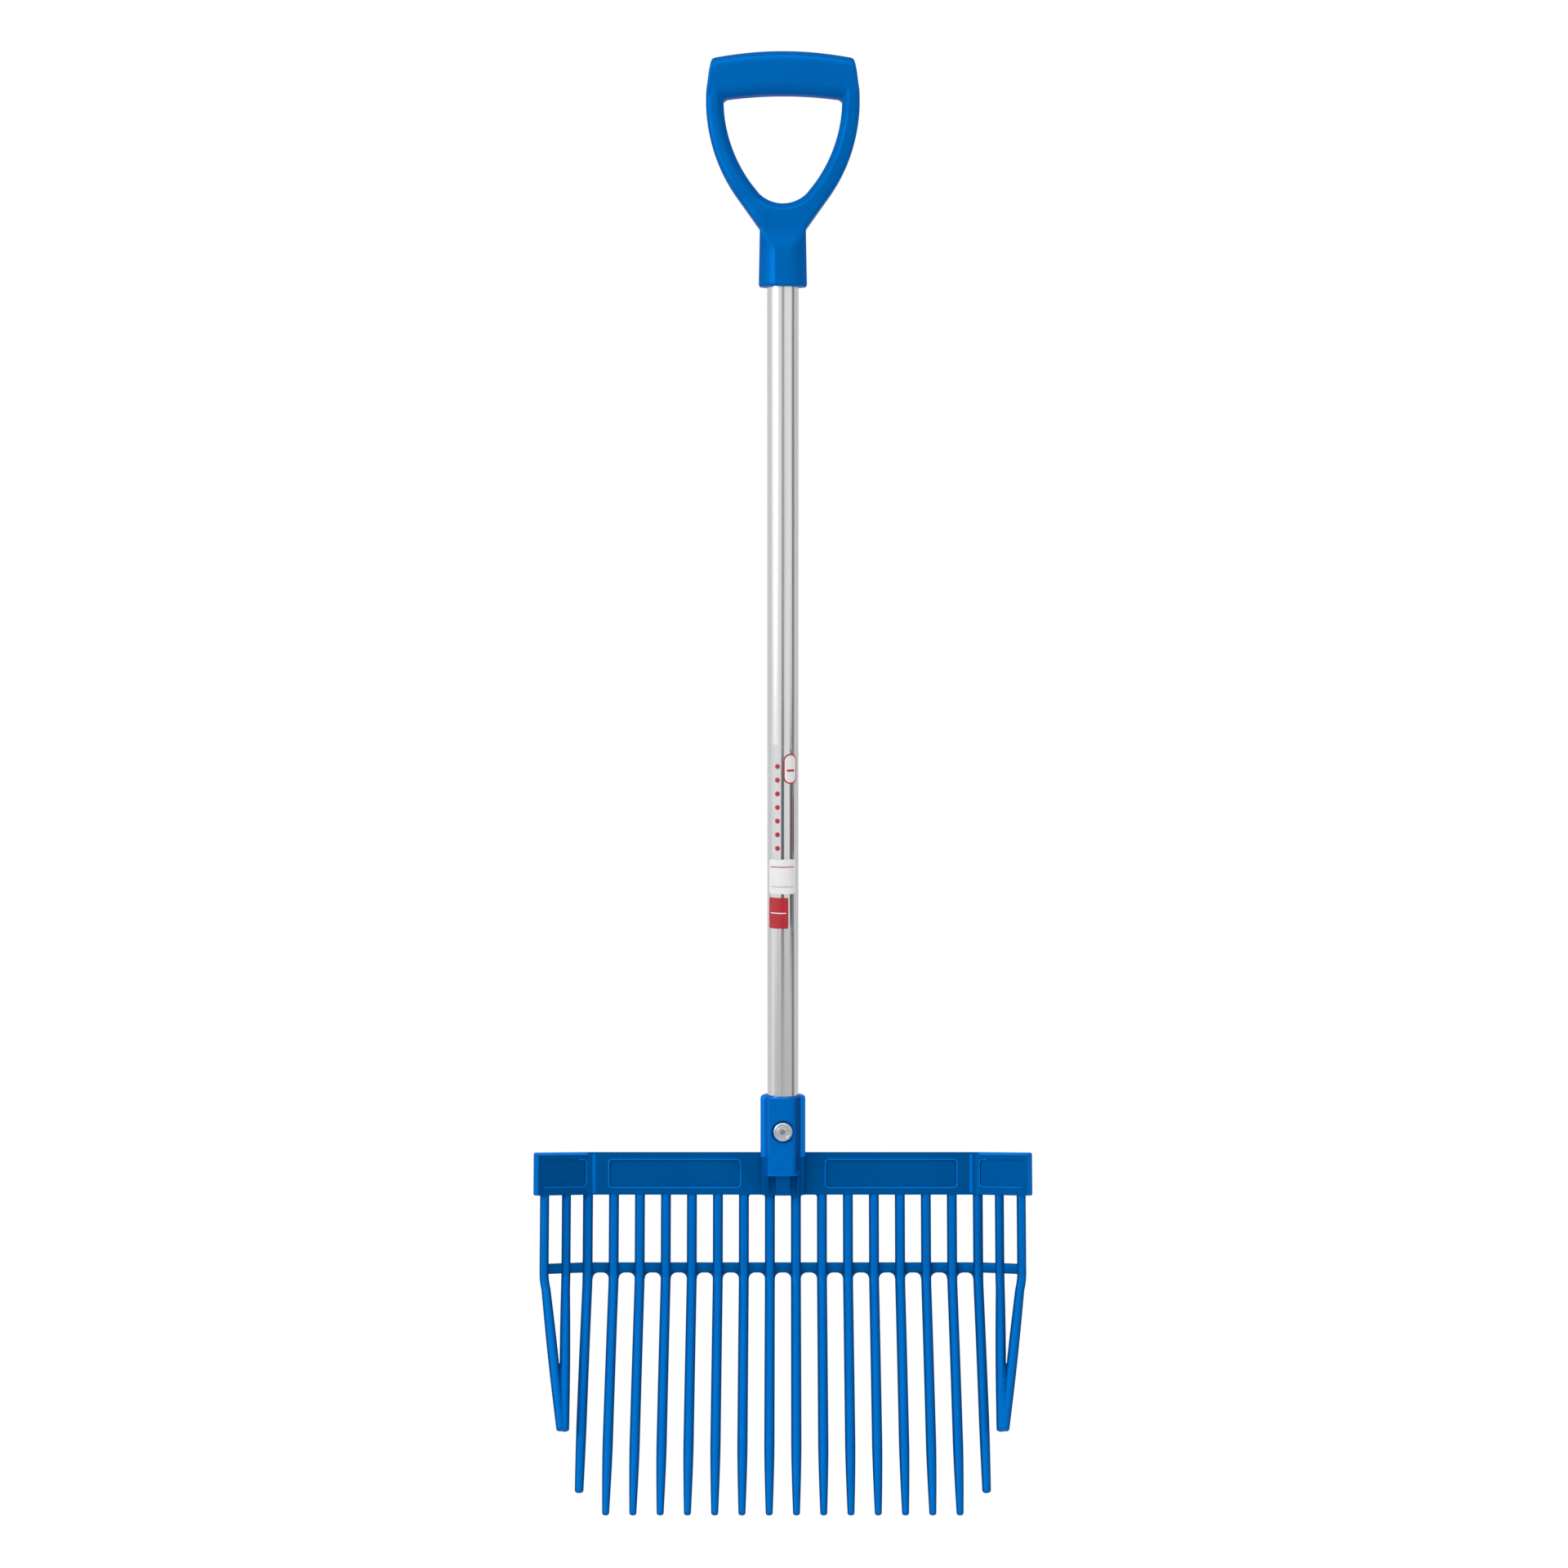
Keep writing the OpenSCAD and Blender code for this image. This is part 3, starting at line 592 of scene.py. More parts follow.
# plain printed panels, a badge and fine lines: turn round the shaft, heights, corner radius, ink, lift over another
printed = (("labelFrame", (2, 56), (-545, -521), 5.4, labelRed, 0),
           ("labelBadge", (6.5, 51.5), (-543.9, -522.1), 4.6, labelWhite, 0.05),
           ("labelBar", (14, 44), (-535.2, -533.4), 0.8, labelRed, 0.1),
           ("labelStripe", (40, 43), (-600, -556), 0.3, labelRed, 0),
           ("labelPanel", (-58, 52), (-634, -606), 2.5, labelWhite, 0),
           ("labelBand", (-58, 20), (-662, -637), 1.2, labelRed, 0),
           ("labelLineA", (-50, 44), (-612.6, -611.8), 0.3, labelRed, 0.05),
           ("labelLineB", (-50, 44), (-628.4, -627.9), 0.2, labelGrey, 0.05),
           ("labelLineC", (-50, 12), (-649.9, -649.1), 0.3, labelWhite, 0.05))


def tubeShell(name, outer, inner, sizes, finish):
    low, high, edge = sizes["low"], sizes["top"], sizes["edge"]
    profile = [(inner, low), (outer - edge, low), (outer, low + edge),
               (outer, high - edge), (outer - edge, high), (inner, high)]
    rows = len(profile)
    verts = [Vector((r * c, r * s, z)) * mm for r, z in profile for c, s in circle(shaft["sides"])]
    faces = sideFaces(shaft["sides"], [(i, (i + 1) % rows) for i in range(rows)])
    return smoothPiece(paint(tidyNormals(newPiece(name, verts, faces)), finish), angle=30)


def labelPatch(name, turns, heights, cornerR, finish, lift=0):
    r = shaft["r"] + label["gap"] + label["film"] + label["proud"] + lift
    cols, wide = label["cols"], radians(turns[1] - turns[0]) * r
    verts = []
    for k in range(cols + 1):
        along = wide * k / cols
        edge = min(along, wide - along)
        drop = cornerR - sqrt(max(0, cornerR ** 2 - (cornerR - edge) ** 2)) if edge < cornerR else 0
        a = radians(turns[0]) + along / r
        ends = (heights[0] + drop, heights[1] - drop)
        for rr in (r, r + label["ink"]):
            verts += [Vector((rr * sin(a), -rr * cos(a), z)) * mm for z in ends]
    faces = []
    for a in range(0, 4 * cols, 4):
        b = a + 4
        faces += [[a, b, b + 1, a + 1], [a + 2, a + 3, b + 3, b + 2]]
        faces += [[a, a + 2, b + 2, b], [a + 1, b + 1, b + 3, a + 3]]
    faces += [[0, 1, 3, 2], [4 * cols, 4 * cols + 2, 4 * cols + 3, 4 * cols + 1]]
    return smoothPiece(paint(tidyNormals(newPiece(name, verts, faces), join=1e-7), finish), angle=40)


shaftMetal = drawnMetal("shaftMetal", label["low"], label["top"], (0.74, 0.74, 0.75, 1), dull=0.19)
shaftTube = tubeShell("shaftTube", shaft["r"], shaft["r"] - shaft["wall"], shaft, shaftMetal)
filmInner = shaft["r"] + label["gap"]
labelFilm = tubeShell("labelFilm", filmInner + label["film"], filmInner, label, labelClear)
labelPieces = [labelPatch(*row) for row in printed]
dot = labelPatch("dot", dots["turns"], dots["heights"], dots["r"], labelRed)
labelPieces.append(makeRow("labelDots", copiedRow, dot, (0, 0, dots["step"]), dots["count"], labelRed))
print("shaft and label made")


# head: sizes shared by its pieces

wall = {"lean": 11, "y": 9, "topZ": -848.8, "plateH": 34.5, "plateT": 7, "h": 104.5, "wingW": 51.4, "fold": 38}
tine = {"pitch": 21.2, "count": 14, "floor": 199, "foldLen": 181, "wing": 129, "rootLap": 2.5,
        "r": 4.1, "wingR": 3.6, "wingMidR": 4.2, "tipR": 2.7, "sideTipR": 3.4, "taper": 58, "taperBend": 1.5,
        "tipRound": 1.7, "heelLean": 44, "tipLean": 35, "heelR": 20}
wallMatrix = shift(0, wall["y"], wall["topZ"]) @ Matrix.Rotation(radians(-wall["lean"]), 4, "X")
plateH, pitch = wall["plateH"], tine["pitch"]
frontY = -tine["r"]  # front face of the plate
rootZ = tine["rootLap"] - plateH
foldX = (tine["count"] + 1) / 2 * pitch
foldTurn = radians(wall["fold"])
floorTurn = radians(tine["heelLean"] - wall["lean"])
heelTan = tine["heelR"] * tan(floorTurn / 2)
heelZ = heelTan - wall["h"]


def heelPoint(a):
    return (-tine["heelR"] * (1 - cos(a)), heelZ - tine["heelR"] * sin(a))


heelEnd = heelPoint(floorTurn)
floorR = (tine["floor"] - heelTan) / radians(tine["heelLean"] - tine["tipLean"])


def floorPoint(s):
    a = floorTurn - s / floorR
    return (heelEnd[0] + floorR * (cos(floorTurn) - cos(a)),
            heelEnd[1] + floorR * (sin(a) - sin(floorTurn)))


def wingPoint(along, back):
    return (foldX + along * cos(foldTurn) + back * sin(foldTurn),
            back * cos(foldTurn) - along * sin(foldTurn))


def pathCurve(name, points, closed=False):
    curve = bpy.data.curves.new(name, "CURVE")
    curve.dimensions = "3D"
    line = curve.splines.new("POLY")
    line.points.add(len(points) - 1)
    line.use_cyclic_u = closed
    for target, (x, y, z, r) in zip(line.points, points):
        target.co = (*(wallMatrix @ Vector((x, y, z)) * mm), 1)
        target.radius = r * mm
    return addObject(name, curve)


# tines: one path, swept and repeated along a row

tipSteps = (1, 0.8, 0.55, 0.3, 0.12, 0.02)  # shares of the rounded tip
wingPair = {"tipIn": 3, "gap": 1.5, "tipY": -0.6, "tipZ": 0.4, "bend": (-1.8, -1.6),
            "lead": ((0, 0, 2), (-0.25, -0.2, -3), (-1.0, -0.9, -7.5))}  # the outer rod's way past the heel
wingSkin = {"voxel": 0.6, "rounds": 4, "fill": 0.15}


def tipRadius(left, full, last):
    if left >= tine["taper"]:
        return full
    t = 1 - left / tine["taper"]
    r = full + (last - full) * t ** tine["taperBend"]
    if left < tine["tipRound"]:
        r += sqrt(max(0, tine["tipRound"] ** 2 - (tine["tipRound"] - left) ** 2)) - tine["tipRound"]
    return r


def tineLine(length, last):
    run, r, steps = length - heelTan, tine["r"], 12
    points = [(0, 0, rootZ, r), (0, 0, heelZ, r)]
    points += [(0, *heelPoint(floorTurn * i / steps), r) for i in range(1, steps + 1)]
    lefts = [run - (run - tine["taper"]) * i / steps for i in range(1, steps + 1)]
    lefts += [tine["taper"] * (1 - i / 10) for i in range(1, 10)] + [tine["tipRound"] * k for k in tipSteps]
    return points + [(0, *floorPoint(run - left), tipRadius(left, r, last)) for left in lefts]


def tineRow(name, length, last, step, count):
    path = pathCurve("tinePath", tineLine(length, last))
    return smoothPiece(makeRow(name, sweptRow, path, (step, 0, 0), count, tineBlue), angle=50)


def wingTinePaths():
    run, steps, r = tine["wing"] - heelTan, 24, tine["wingR"]
    inX, inY = wingPoint(pitch, 0)
    outX, outY = wingPoint(2 * pitch, 0)
    tipX, gap = inX - wingPair["tipIn"], wingPair["gap"]

    def swell(t):  # thickest where the pair grows together
        return r + (tine["sideTipR"] - r) * t + (tine["wingMidR"] - r) * sin(pi * t)

    inner = [(inX, inY, rootZ, r), (inX, inY, heelZ, r)]
    outer = [(outX, outY, rootZ, r)] + [(outX + x, outY + y, heelZ + z, r) for x, y, z in wingPair["lead"]]
    endY, endZ = floorPoint(run)
    bend = (outX + wingPair["bend"][0], outY + wingPair["bend"][1], heelEnd[1])
    tip = (tipX + gap, inY + endY + wingPair["tipY"], endZ + wingPair["tipZ"])
    for i in range(steps + 1):
        t = i / steps
        y, z = floorPoint(run * i / steps)
        inner.append((inX + (tipX - gap - inX) * i / steps, inY + y, z, swell(t)))
        outer.append((*(a + (b - a) * t for a, b in zip(bend, tip)), swell(t)))
    return inner, outer


def makeWingTines():
    rods = []
    for side in (1, -1):
        for points in wingTinePaths():
            rods.append(sweepRod("wingRod", pathCurve("wingPath", mirrored(points, side)), tineBlue))
    piece = blendSolids(joinPieces("wingTines", rods), **wingSkin)
    return smoothPiece(paint(piece, tineBlue), angle=60)


floorTines = tineRow("floorTines", tine["floor"], tine["tipR"], pitch, tine["count"])
foldTines = tineRow("foldTines", tine["foldLen"], tine["sideTipR"], 2 * foldX, 2)
wingTines = makeWingTines()
print("tines made", len(floorTines.data.polygons), len(foldTines.data.polygons), len(wingTines.data.polygons))


# crossbar with an arch over each gap

rail = {"h": 8.2, "front": 0.2, "back": 6, "drop": 7, "round": 1.6, "reach": 2 * pitch - 0.6,
        "archR": 5, "archT": 4.6, "archFoot": 2.5, "archToe": 1.2, "archLap": 1, "archInset": 1, "archEdge": 0.9}


def makeCrossbar():
    low, middle = rail["drop"] - wall["h"], (rail["front"] + rail["back"]) / 2
    section = [(middle + a, low + rail["h"] / 2 + b)
               for a, b in cornerRing(rail["back"] - rail["front"], rail["h"], rail["round"], 5)]
    bend = tan(foldTurn / 2)
    rings = []
    for side, atEnd in ((-1, True), (-1, False), (1, False), (1, True)):
        ring = []
        for d, z in section:
            x, y = wingPoint(rail["reach"], d) if atEnd else (foldX + d * bend, d)
            ring.append(wallMatrix @ Vector((side * x, y, z)))
        rings.append(ring)
    half, gap, r = pitch / 2 - rail["archInset"], pitch / 2 - tine["r"], rail["archR"]
    foot, toe, lap, thick = -r - rail["archFoot"], gap + rail["archToe"], rail["archLap"], rail["archT"] / 2
    outline = [(half, lap), (-half, lap), (-half, foot), (-toe, foot), (-gap, -r)]
    outline += arc(r - gap, -r, r, 180, 90, 10) + arc(gap - r, -r, r, 90, 0, 10) + [(toe, foot), (half, foot)]
    place = wallMatrix @ shift(0, middle, low) @ faceFront
    arch = softenEdges(prism("arch", outline, -thick, thick, place), rail["archEdge"], angle=60)
    # painted shade: the crossbar and its arches are a darker copy of the head's blue
    arches = makeRow("arches", copiedRow, arch, (pitch, 0, 0), tine["count"] + 1, railBlue)
    return smoothPiece(paint(joinPieces("headCrossbar", [loft("bar", rings), arches]), railBlue), angle=40)


crossbar = makeCrossbar()
print("crossbar made", len(crossbar.data.polygons))


# plate, wings and socket

plate = {"panelIn": 34.5, "panelOut": 142, "panelR": 3, "margin": 5.8, "panelSink": 1.2, "sinkOut": 8,
         "pocketTop": 5.8, "pocketLow": 6.4, "pocketEnd": 1.8, "pocketFold": 4.5, "pocketR": 3.5, "pocketSink": 0.9,
         "foldSoft": 3.5, "foldBack": 5, "lipDrop": 2.1, "lipUp": 1, "lipBack": 2.4, "lipOut": 3, "lipLap": 2,
         "lipPast": 5, "endR": 2, "endOver": 0.12, "endOut": 4, "endPast": 2, "endHalf": 14, "edge": 0.7}
foldRib = {"in": 5.1, "deep": 1.27, "foot": ((1.1, 0.55), (2.2, 1.6)), "top": ((2.2, -2.3), (1.1, -1.15))}
socket = {"top": -799.3, "low": -863.6, "r": 14.6, "faceY": 15.6, "faceW": 22.4, "flank": 3.1, "backIn": 4,
          "softR": 7.5, "crispR": 0.9, "cornerOut": 0.4, "ledge": ((0.45, 0), (0.45, 1), (0, 2.4)), "footUp": 1.2,
          "roll": ((0, 1), (-0.8, 0)), "coreEdge": 1, "lap": 1, "flangeDrop": 0.4, "highlightLap": 2,
          "halfW": 18.25, "flangeT": 11, "flangeEnd": 3, "rollR": 4, "boreR": 12.75, "boreLow": -863, "boreTop": -780}
ribs = {"w": 11.4, "faceIn": 3, "backY": 6, "toe": 1.5}
gusset = {"top": ((11.6, 0), (11.6, -11), (12.6, -11.8), (15, -5.9), (15, 0)),
          "toe": ((11.6, 0), (11.6, -6.5), (12.6, -6.7), (15.4, -5.2), (15.4, 0)), "toeUp": 0.4}
boltSeat = {"z": -827.3, "y": 14.4, "r": 8.4, "rimR": 10.2, "deep": 0.6, "out": 2.4, "holeR": 3.2, "holeLen": 30,
            "backFrom": 5, "backY": 16, "backR": 8.2}
bead = {"lift": 0.1, "r": 0.5, "hook": 4, "ledgeR": 0.75, "ledgeUp": 0.8, "rimIn": 0.3, "rimR": 0.4, "rimSteps": 48,
        "ledge": ((-12.2, 3.4), (-11.6, 0.8), (-10.6, -0.3), (6.6, -0.3), (9.2, 0.4), (11.2, 2.1), (12.2, 4.4))}
windows = {"r": 1.8, "lap": 0.6, "low": -2.4, "high": 2.8, "count": 3}
# the head's own blue, then painted shade, painted highlight, and a second painted shade
headFinishes = (headBlue, plateBlue, edgeBlue, railBlue)
headSlot, shadedPlateSlot, highlightSlot, shadedRailSlot = range(len(headFinishes))
panelRing = cornerRing(plate["panelOut"] - plate["panelIn"], plateH - 2 * plate["margin"], plate["panelR"])
pocketStart, pocketEnd = plate["pocketFold"], wall["wingW"] - plate["pocketEnd"]
pocketLow, pocketHigh = plate["pocketLow"] - plateH, -plate["pocketTop"]
pocketRing = cornerRing(pocketEnd - pocketStart, pocketHigh - pocketLow, plate["pocketR"])


def panelSpot(base, sink):
    return base @ shift((plate["panelIn"] + plate["panelOut"]) / 2, frontY + sink, -plateH / 2) @ faceFront


def wingSpot(base):
    return base @ shift(foldX, 0, 0) @ Matrix.Rotation(-foldTurn, 4, "Z")


def pocketSpot(wing, sink):
    return wing @ shift((pocketStart + pocketEnd) / 2, frontY + sink, (pocketLow + pocketHigh) / 2) @ faceFront


def plateSide(back, soft):
    cx, cy, steps = foldX + back * tan(foldTurn / 2), back, 6
    line = []
    for k in range(steps + 1):
        t = k / steps
        before, after = (1 - t) ** 2, t * t
        line.append((cx - before * soft + after * soft * cos(foldTurn), cy - after * soft * sin(foldTurn)))
    return line + [wingPoint(wall["wingW"], back)]


def endCorner(edge, way):  # starts a little outside, so that it crosses both faces of the wing cleanly
    r, over, past = plate["endR"], plate["endOver"], edge + plate["endPast"] * way
    x, y = wall["wingW"] - r + over, edge - way * (r - over)
    turns = [pi / 12 * k for k in range(7)]
    bend = [(x + r * sin(a), y + way * r * cos(a)) for a in turns]
    return [(x + plate["endOut"], past), (x, past)] + bend + [(x + plate["endOut"], y)]


def makePlate():
    lipY, lipOut = frontY + plate["lipBack"], frontY - plate["lipOut"]
    lipUp, lipLow = plate["lipUp"], -plate["lipDrop"]
    lip = [(lipOut, lipUp), (lipY, lipUp), (lipY, 0), (frontY, lipLow), (lipOut, lipLow)]
    lipStart, lipEnd = plate["pocketFold"] - plate["lipLap"], wall["wingW"] + plate["lipPast"]
    faceLine, backLine = plateSide(frontY, plate["foldSoft"]), plateSide(frontY + wall["plateT"], plate["foldBack"])
    outline = mirrored(faceLine[::-1]) + faceLine + backLine[::-1] + mirrored(backLine)
    piece = prism("headPlate", outline, -plateH, 0, wallMatrix)
    for side in bothSides:
        base = wallMatrix @ side
        wing = wingSpot(base)
        cut(piece, prism("panel", panelRing, 0, plate["sinkOut"], panelSpot(base, plate["panelSink"])))
        cut(piece, prism("pocket", pocketRing, 0, plate["sinkOut"], pocketSpot(wing, plate["pocketSink"])))
        cut(piece, prism("lip", lip, lipStart, lipEnd, wing @ alongX))
        for edge, way in ((0, 1), (-plateH, -1)):
            cut(piece, prism("endCorner", endCorner(edge, way), -plate["endHalf"], plate["endHalf"], wing @ faceFront))
    paint(piece, *headFinishes)
    toWall, facing, tilted = wallMatrix.to_3x3().inverted(), 0.7, 0.3  # the last two are shares of a direction
    for face in piece.data.polygons:  # painted shade on the broad faces, painted highlight on the wings' lips
        way = toWall @ face.normal
        broad, onLip = abs(way.y) > facing and abs(way.z) < tilted, way.z > tilted and way.y < -tilted
        face.material_index = shadedPlateSlot if broad else highlightSlot if onLip else headSlot
    ribProfile = [(r, z - plateH) for r, z in foldRib["foot"]] + list(foldRib["top"])
    for side in bothSides:
        place = wallMatrix @ side @ shift(foldX - foldRib["in"], frontY + foldRib["deep"], 0)
        weld(piece, spin("foldRib", ribProfile, 22, place))
    return piece


def flangeRings(low):
    w, end, top = 2 * socket["halfW"], socket["flangeEnd"], socket["top"] - socket["flangeDrop"]
    bends, steps = 8, [(w, low), (w, wall["topZ"] - socket["lap"])]
    for k in range(bends + 1):  # rounded upper end
        a = pi / 2 * k / bends
        steps.append((w - 2 * end * (1 - cos(a)), top - end + end * sin(a)))
    return [level(cornerRing(wide, socket["flangeT"], socket["rollR"], 8), z) for wide, z in steps]


def socketRing(grow, z):  # one corner of its face is round, the other crisp
    half = socket["faceW"] / 2

    def faceSide(r):
        x = half + socket["flank"] + grow
        bend = arc(half + socket["cornerOut"] - r + grow, r - socket["faceY"] - grow, r, -90, -12, 6)
        return [(x, socket["backIn"]), (x, -socket["flangeT"] / 2)] + bend[::-1]

    return level(faceSide(socket["softR"]) + mirrored(faceSide(socket["crispR"])[::-1]), z)


def makeSocket():
    low, top, r, depth = socket["low"], socket["top"], socket["r"], socket["flangeT"] / 2
    start, edge = low + socket["lap"], socket["coreEdge"]
    foot = wall["topZ"] - plateH * cos(radians(wall["lean"])) + socket["footUp"]
    heights = [(grow, low + up) for grow, up in socket["ledge"]]
    heights += [(grow, top - down) for grow, down in socket["roll"]]
    piece = loft("socket", [socketRing(grow, z) for grow, z in heights])
    weld(piece, spin("core", ((r, low), (r, top - edge), (r - edge, top)), 64))
    paint(piece, *headFinishes)
    flange = paint(loft("flange", flangeRings(foot)), *headFinishes)
    highlightZ = wall["topZ"] - socket["highlightLap"]
    for face in flange.data.polygons:  # painted highlight above the plate, painted shade below it
        lower = shadedRailSlot if face.normal.y < -0.99 else shadedPlateSlot
        face.material_index = highlightSlot if face.center.z > highlightZ * mm else lower
    for face in piece.data.polygons:  # painted shade on the rounded side of the socket's face
        face.material_index = shadedPlateSlot if face.normal.x > 0.8 and face.center.y < -depth * mm else headSlot
    weld(piece, flange)
    for side in (1, -1):
        upper = level(mirrored(gusset["top"], side), start)
        lower = level(mirrored(gusset["toe"], side), foot + gusset["toeUp"])
        # painted shade on the gussets
        weld(piece, paint(loft("gusset", [upper, lower]), railBlue))
    outline = [(-socket["faceY"] + ribs["faceIn"], start), (ribs["backY"], start), (ribs["backY"], foot),
               (-depth - ribs["toe"], foot)]
    # painted shade on the rib
    weld(piece, paint(prism("rib", outline, -ribs["w"] / 2, ribs["w"] / 2, alongX), railBlue))
    boss = ((boltSeat["backR"], boltSeat["backFrom"]), (boltSeat["backR"], boltSeat["backY"]))
    weld(piece, spin("boss", boss, 48, shift(0, 0, boltSeat["z"]) @ faceBack))
    return piece


def makeHead():
    piece = weld(makePlate(), makeSocket())
    cut(piece, spin("bore", ((socket["boreR"], socket["boreLow"]), (socket["boreR"], socket["boreTop"])), 96))
    hole, floor, rim = boltSeat["holeR"], boltSeat["y"] - boltSeat["deep"], boltSeat["rimR"]
    recess = ((hole, -boltSeat["holeLen"]), (hole, floor), (boltSeat["r"], floor), (rim, socket["faceY"]),
              (2 * rim - boltSeat["r"], socket["faceY"] + boltSeat["out"]))
    cut(piece, spin("recess", recess, 64, shift(0, 0, boltSeat["z"]) @ faceFront))
    # painted highlight on the rounded edges
    softenEdges(piece, plate["edge"], angle=38, slot=highlightSlot)
    return smoothPiece(tidyNormals(piece), angle=32)


def makeBeads():
    rods, toWall, faceY = [], wallMatrix.inverted(), -socket["faceY"]

    def addBead(points, r, matrix, closed=False):
        path = pathCurve("beadPath", [(*(matrix @ Vector(p)), r) for p in points], closed)
        # painted highlight: the beads are a lighter copy of the head's blue
        rods.append(sweepRod("bead", path, edgeBlue))

    corner = len(pocketRing) // 4
    hookX, hookZ = pocketRing[corner]  # only the pocket's fold side and foot have a rim
    hook = [(hookX + bead["hook"], hookZ)] + pocketRing[corner:3 * corner + 1]
    for side in bothSides:
        addBead(level(panelRing, 0), bead["r"], panelSpot(side, bead["lift"]), True)
        addBead(level(hook, 0), bead["r"], pocketSpot(wingSpot(side), bead["lift"]))
    addBead([(x, faceY + back, socket["low"] + bead["ledgeUp"]) for x, back in bead["ledge"]], bead["ledgeR"], toWall)
    soft, steps, rim = socket["softR"], bead["rimSteps"], []
    flatEnd = socket["faceW"] / 2 + socket["cornerOut"] - soft
    for x, z in arc(0, boltSeat["z"], boltSeat["rimR"] - bead["rimIn"], 0, 360 - 360 / steps, steps - 1):
        over = max(0, x - flatEnd)  # the lip of the bolt's seat follows the rounded side
        rim.append((x, faceY + soft - sqrt(soft ** 2 - over ** 2), z))
    addBead(rim, bead["rimR"], toWall, True)
    beads = paint(joinPieces("plateBeads", rods), edgeBlue, headBlue)
    for face in beads.data.polygons:  # painted highlight on the beads, except those on the socket, which keep its face's blue
        face.material_index = 1 if abs(face.center.x) < plate["panelIn"] / 2 * mm else 0
    return smoothPiece(beads, angle=50)


def makeCorners():
    gap, r, lap = pitch / 2 - tine["r"], windows["r"], windows["lap"]
    outline = [(gap + lap, lap), (gap - r, lap)] + arc(gap - r, -r, r, 90, 0, 6) + [(gap + lap, -r)]
    place = wallMatrix @ shift(0, 0, -plateH) @ faceFront
    pair = [prism("corner", mirrored(outline, side), windows["low"], windows["high"], place) for side in (1, -1)]
    step, count = (pitch, 0, 0), windows["count"]
    # painted shade: the window corners take the plate's darker copy
    row = makeRow("windowCorners", copiedRow, joinPieces("corners", pair), step, count, plateBlue)
    return smoothPiece(row, angle=40)


headPlate = makeHead()
plateBeads = makeBeads()
windowCorners = makeCorners()
print("plate and socket made", len(headPlate.data.polygons), len(plateBeads.data.polygons))


# fasteners

bolt = {"headR": 7.7, "headT": 2.6, "r": 3, "length": 40, "coreR": 0.6, "chamfer": 0.5, "brim": 0.2,
        "edge": ((0, 1), (0.2, 0.5), (0.6, 0.15), (1, 0)),  # in from the rim and down from the face
        "rings": ((5.2, 0), (5.0, 0.12), (4.8, 0), (3.1, 0), (2.9, 0.1), (0.6, 0.1)),  # radius and depth
        "key": 4, "keyDeep": 1.8, "keyPoint": 0.6, "keyEdge": 0.3, "keyFlare": 0.5, "keyOut": 0.2, "keySkin": 0.2}


def makeBolt():
    place = shift(0, -boltSeat["y"], boltSeat["z"]) @ faceFront
    r, t, n, core, shank = bolt["headR"], bolt["headT"], bolt["length"], bolt["coreR"], bolt["r"]
    chamfer, brim, skin = bolt["chamfer"], bolt["brim"], bolt["keySkin"]
    profile = [(core, -n), (shank - chamfer, -n), (shank, chamfer - n), (shank, 0), (r - brim, 0), (r, brim)]
    profile += [(r - x, t - y) for x, y in bolt["edge"]] + [(x, t - y) for x, y in bolt["rings"]]
    piece = spin("headBolt", profile, 64, place)
    hexR, floor = bolt["key"] / 2 / cos(radians(30)), t - bolt["keyDeep"]
    recess = ((core, floor - bolt["keyPoint"]), (hexR, floor), (hexR, t - bolt["keyEdge"]),
              (hexR + bolt["keyFlare"], t + bolt["keyOut"]))
    cut(piece, spin("key", recess, 6, place))
    paint(piece, boltSteel, keySteel)
    for face in piece.data.polygons:  # inside of the hex recess
        spot = place.inverted() @ (face.center / mm)
        face.material_index = 1 if hypot(spot.x, spot.y) < hexR + skin and 0 < spot.z < t - skin else 0
    return smoothPiece(tidyNormals(piece), angle=30)


def softCopy(name, node, width, finish):
    piece = addObject(name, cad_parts[node].data.copy())

    def mergeFlats(bm):
        bmesh.ops.remove_doubles(bm, verts=bm.verts, dist=1e-6)
        bmesh.ops.dissolve_limit(bm, angle_limit=radians(2), verts=bm.verts, edges=bm.edges)

    softenEdges(editMesh(paint(piece), mergeFlats), width, angle=35)
    return smoothPiece(paint(tidyNormals(piece, join=5e-6), finish), angle=30)


headBolt = makeBolt()
headWasher = softCopy("headWasher", "head_washer", 0.2, boltSteel)
headNut = softCopy("headNut", "head_nut", 0.3, boltSteel)
gripScrew = softCopy("gripScrew", "grip_screw", 0.25, boltSteel)
print("fasteners made")


# stage

stage = {"floorZ": -1.5, "size": 12, "grey": 0.9, "dull": 0.9, "ambient": 0.3, "lampAim": (0, 0, -0.6)}
view = {"distance": 2.5, "pitch": 5.0, "aimX": 0.0009, "aimZ": -0.5461, "focus": 3799, "pixels": 1920, "sensor": 36}
# lamps: place, size, power, and whether the metal mirrors it
lamps = {"keyLamp": ((-2.2, -1.5, 0.55), (1.3, 1.9), 49, True),
         "topLamp": ((-0.2, -1.6, 2.4), (2, 1.4), 33, True),
         "fillLamp": ((2.3, -1.4, -0.3), (0.8, 2.2), 24, False),
         "backLamp": ((0.9, 2.3, 0.7), (1.6, 2.2), 30, False)}
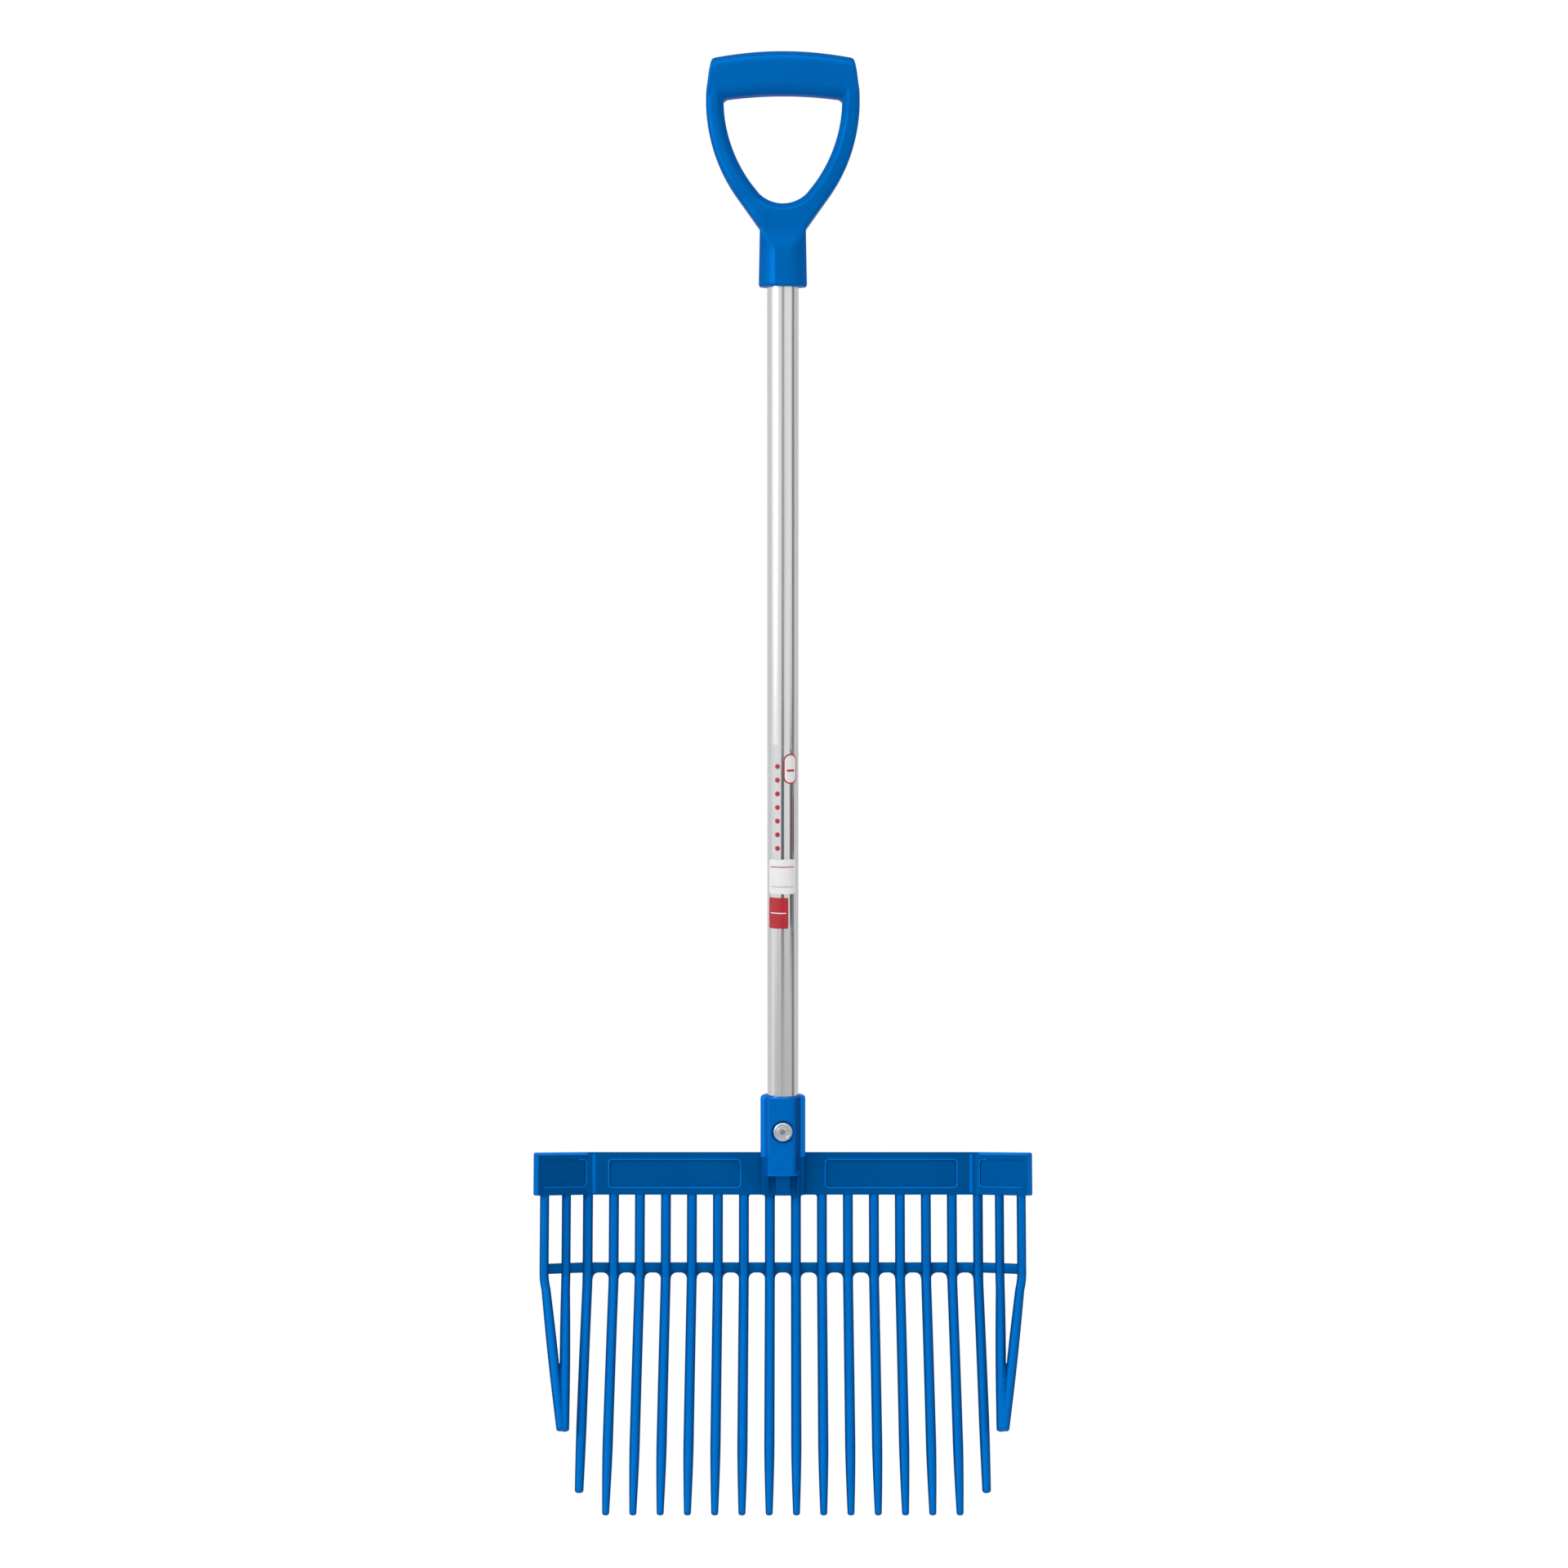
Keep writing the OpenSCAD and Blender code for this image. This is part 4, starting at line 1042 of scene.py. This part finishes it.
# grey cards that are only seen in reflections: low corner, high corner, grey
cards = {"cardCamera": ((-0.7, -3.2, -1.4), (0.7, -3.2, 0.6), 0.68),
         "cardLens": ((-0.14, -3.1, -1.4), (0.2, -3.1, 0.6), 0.12),
         "cardFilm": ((-0.75, -3.0, -1.08), (0.4, -3.0, -0.75), 0.01),
         "cardFilmSide": ((1.02, -0.806, -0.839), (1.236, -0.402, -0.611), 0.01),
         "cardSide": ((1.3, -0.5, -1.4), (1.45, 0, 0.6), 0.22),
         "cardLow": ((-2.6, -3.6, -1.2), (2.6, -0.7, -1.2), 0.6),
         "cardLeftBack": ((-1.6, 0.05, -1.4), (-1.6, 3, 0.6), 0.8),
         "cardRightBack": ((1.6, 0.05, -1.4), (1.6, 3, 0.6), 0.75)}


def seenDirectly(tree):
    path = tree.nodes.new("ShaderNodeLightPath").outputs
    first = mathStep(tree, "MAXIMUM", path["Is Camera Ray"], path["Is Glossy Ray"])
    return mathStep(tree, "MAXIMUM", first, path["Is Transmission Ray"])


def makeFloor():
    size, z, grey = stage["size"], stage["floorZ"], stage["grey"]
    corners = ((-size, -size), (size, -size), (size, size), (-size, size))
    floor = newPiece("floor", level(corners, z), [(0, 1, 2, 3)])
    finish, tree, shader = newFinish("paleFloor")
    setInputs(tree, shader, {"Base Color": (grey, grey, grey, 1), "Roughness": stage["dull"]})
    glow = nodeOut(tree, "ShaderNodeEmission", {"Strength": 1})
    pale = nodeOut(tree, "ShaderNodeMixShader", {"Fac": seenDirectly(tree), 1: shader.outputs["BSDF"], 2: glow})
    back = tree.nodes.new("ShaderNodeNewGeometry").outputs["Backfacing"]
    through = tree.nodes.new("ShaderNodeBsdfTransparent").outputs["BSDF"]  # open from below, to show the underside
    oneSided = nodeOut(tree, "ShaderNodeMixShader", {"Fac": back, 1: pale, 2: through})
    setInputs(tree, tree.nodes["Material Output"], {"Surface": oneSided})
    paint(floor, finish)


def addCard(name, low, high, grey):
    a, c = Vector(low), Vector(high)
    b = Vector((c.x, c.y if a.z < c.z else a.y, a.z))
    card = newPiece(name, [a, b, c, a + c - b], [(0, 1, 2, 3)])
    finish, tree, shader = newFinish(name)
    setInputs(tree, shader, {"Base Color": (0, 0, 0, 1), "Specular IOR Level": 0,
                             "Emission Color": (grey, grey, grey, 1), "Emission Strength": 1})
    paint(card, finish)
    card.visible_camera = card.visible_diffuse = card.visible_shadow = False


def makeWorld():
    world = bpy.data.worlds.new("studio")
    scene.world = world
    world.use_nodes = True
    tree = world.node_tree
    strength = spread(tree, seenDirectly(tree), stage["ambient"], 1, 0, 1)
    setInputs(tree, tree.nodes["Background"], {"Color": (1, 1, 1, 1), "Strength": strength})


def addLamp(name, place, size, power, inMetal):
    lamp = bpy.data.lights.new(name, "AREA")
    lamp.shape = "RECTANGLE"
    lamp.size, lamp.size_y = size
    lamp.energy = power
    stand = addObject(name, lamp)
    stand.location = place
    stand.visible_glossy = inMetal
    stand.rotation_euler = (Vector(stage["lampAim"]) - Vector(place)).to_track_quat("-Z", "Y").to_euler()


def addCamera():
    lens = bpy.data.cameras.new("camera")
    lens.sensor_width = view["sensor"]
    lens.lens = view["sensor"] * view["focus"] / view["pixels"]
    camera = addObject("camera", lens)
    pitch = radians(view["pitch"])
    aim = Vector((view["aimX"], 0, view["aimZ"]))
    camera.location = aim + view["distance"] * Vector((0, -cos(pitch), sin(pitch)))
    camera.rotation_euler = (radians(90) - pitch, 0, 0)
    scene.camera = camera


makeFloor()
for name, card in cards.items():
    addCard(name, *card)
makeWorld()
for name, lamp in lamps.items():
    addLamp(name, *lamp)
addCamera()
scene.view_settings.view_transform = "Standard"
print("stage, lamps and camera made")


# hand the pieces to the frame

standIns = {"grip_plastic": {"d_grip": handGrip},
            "shaft_metal": {"shaft_tube": shaftTube},
            "film": {"label_film": labelFilm},
            "head_plastic": {"head_plate": headPlate, "crossbar": crossbar, "floor_tines": floorTines,
                             "fold_tines": foldTines, "wing_tines": wingTines},
            "fastener_steel": {"head_bolt": headBolt, "head_washer": headWasher, "head_nut": headNut,
                               "grip_screw": gripScrew}}
for slot, pieces in standIns.items():
    for node, piece in pieces.items():
        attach(piece, "root")
        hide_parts(node)
for piece in labelPieces:
    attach(piece, "root")
for piece in (plateBeads, windowCorners):
    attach(piece, "root")
for node, finish in (("shaft_plug", plugBlack), ("nut_insert", ringNylon)):
    paint(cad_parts[node], finish)
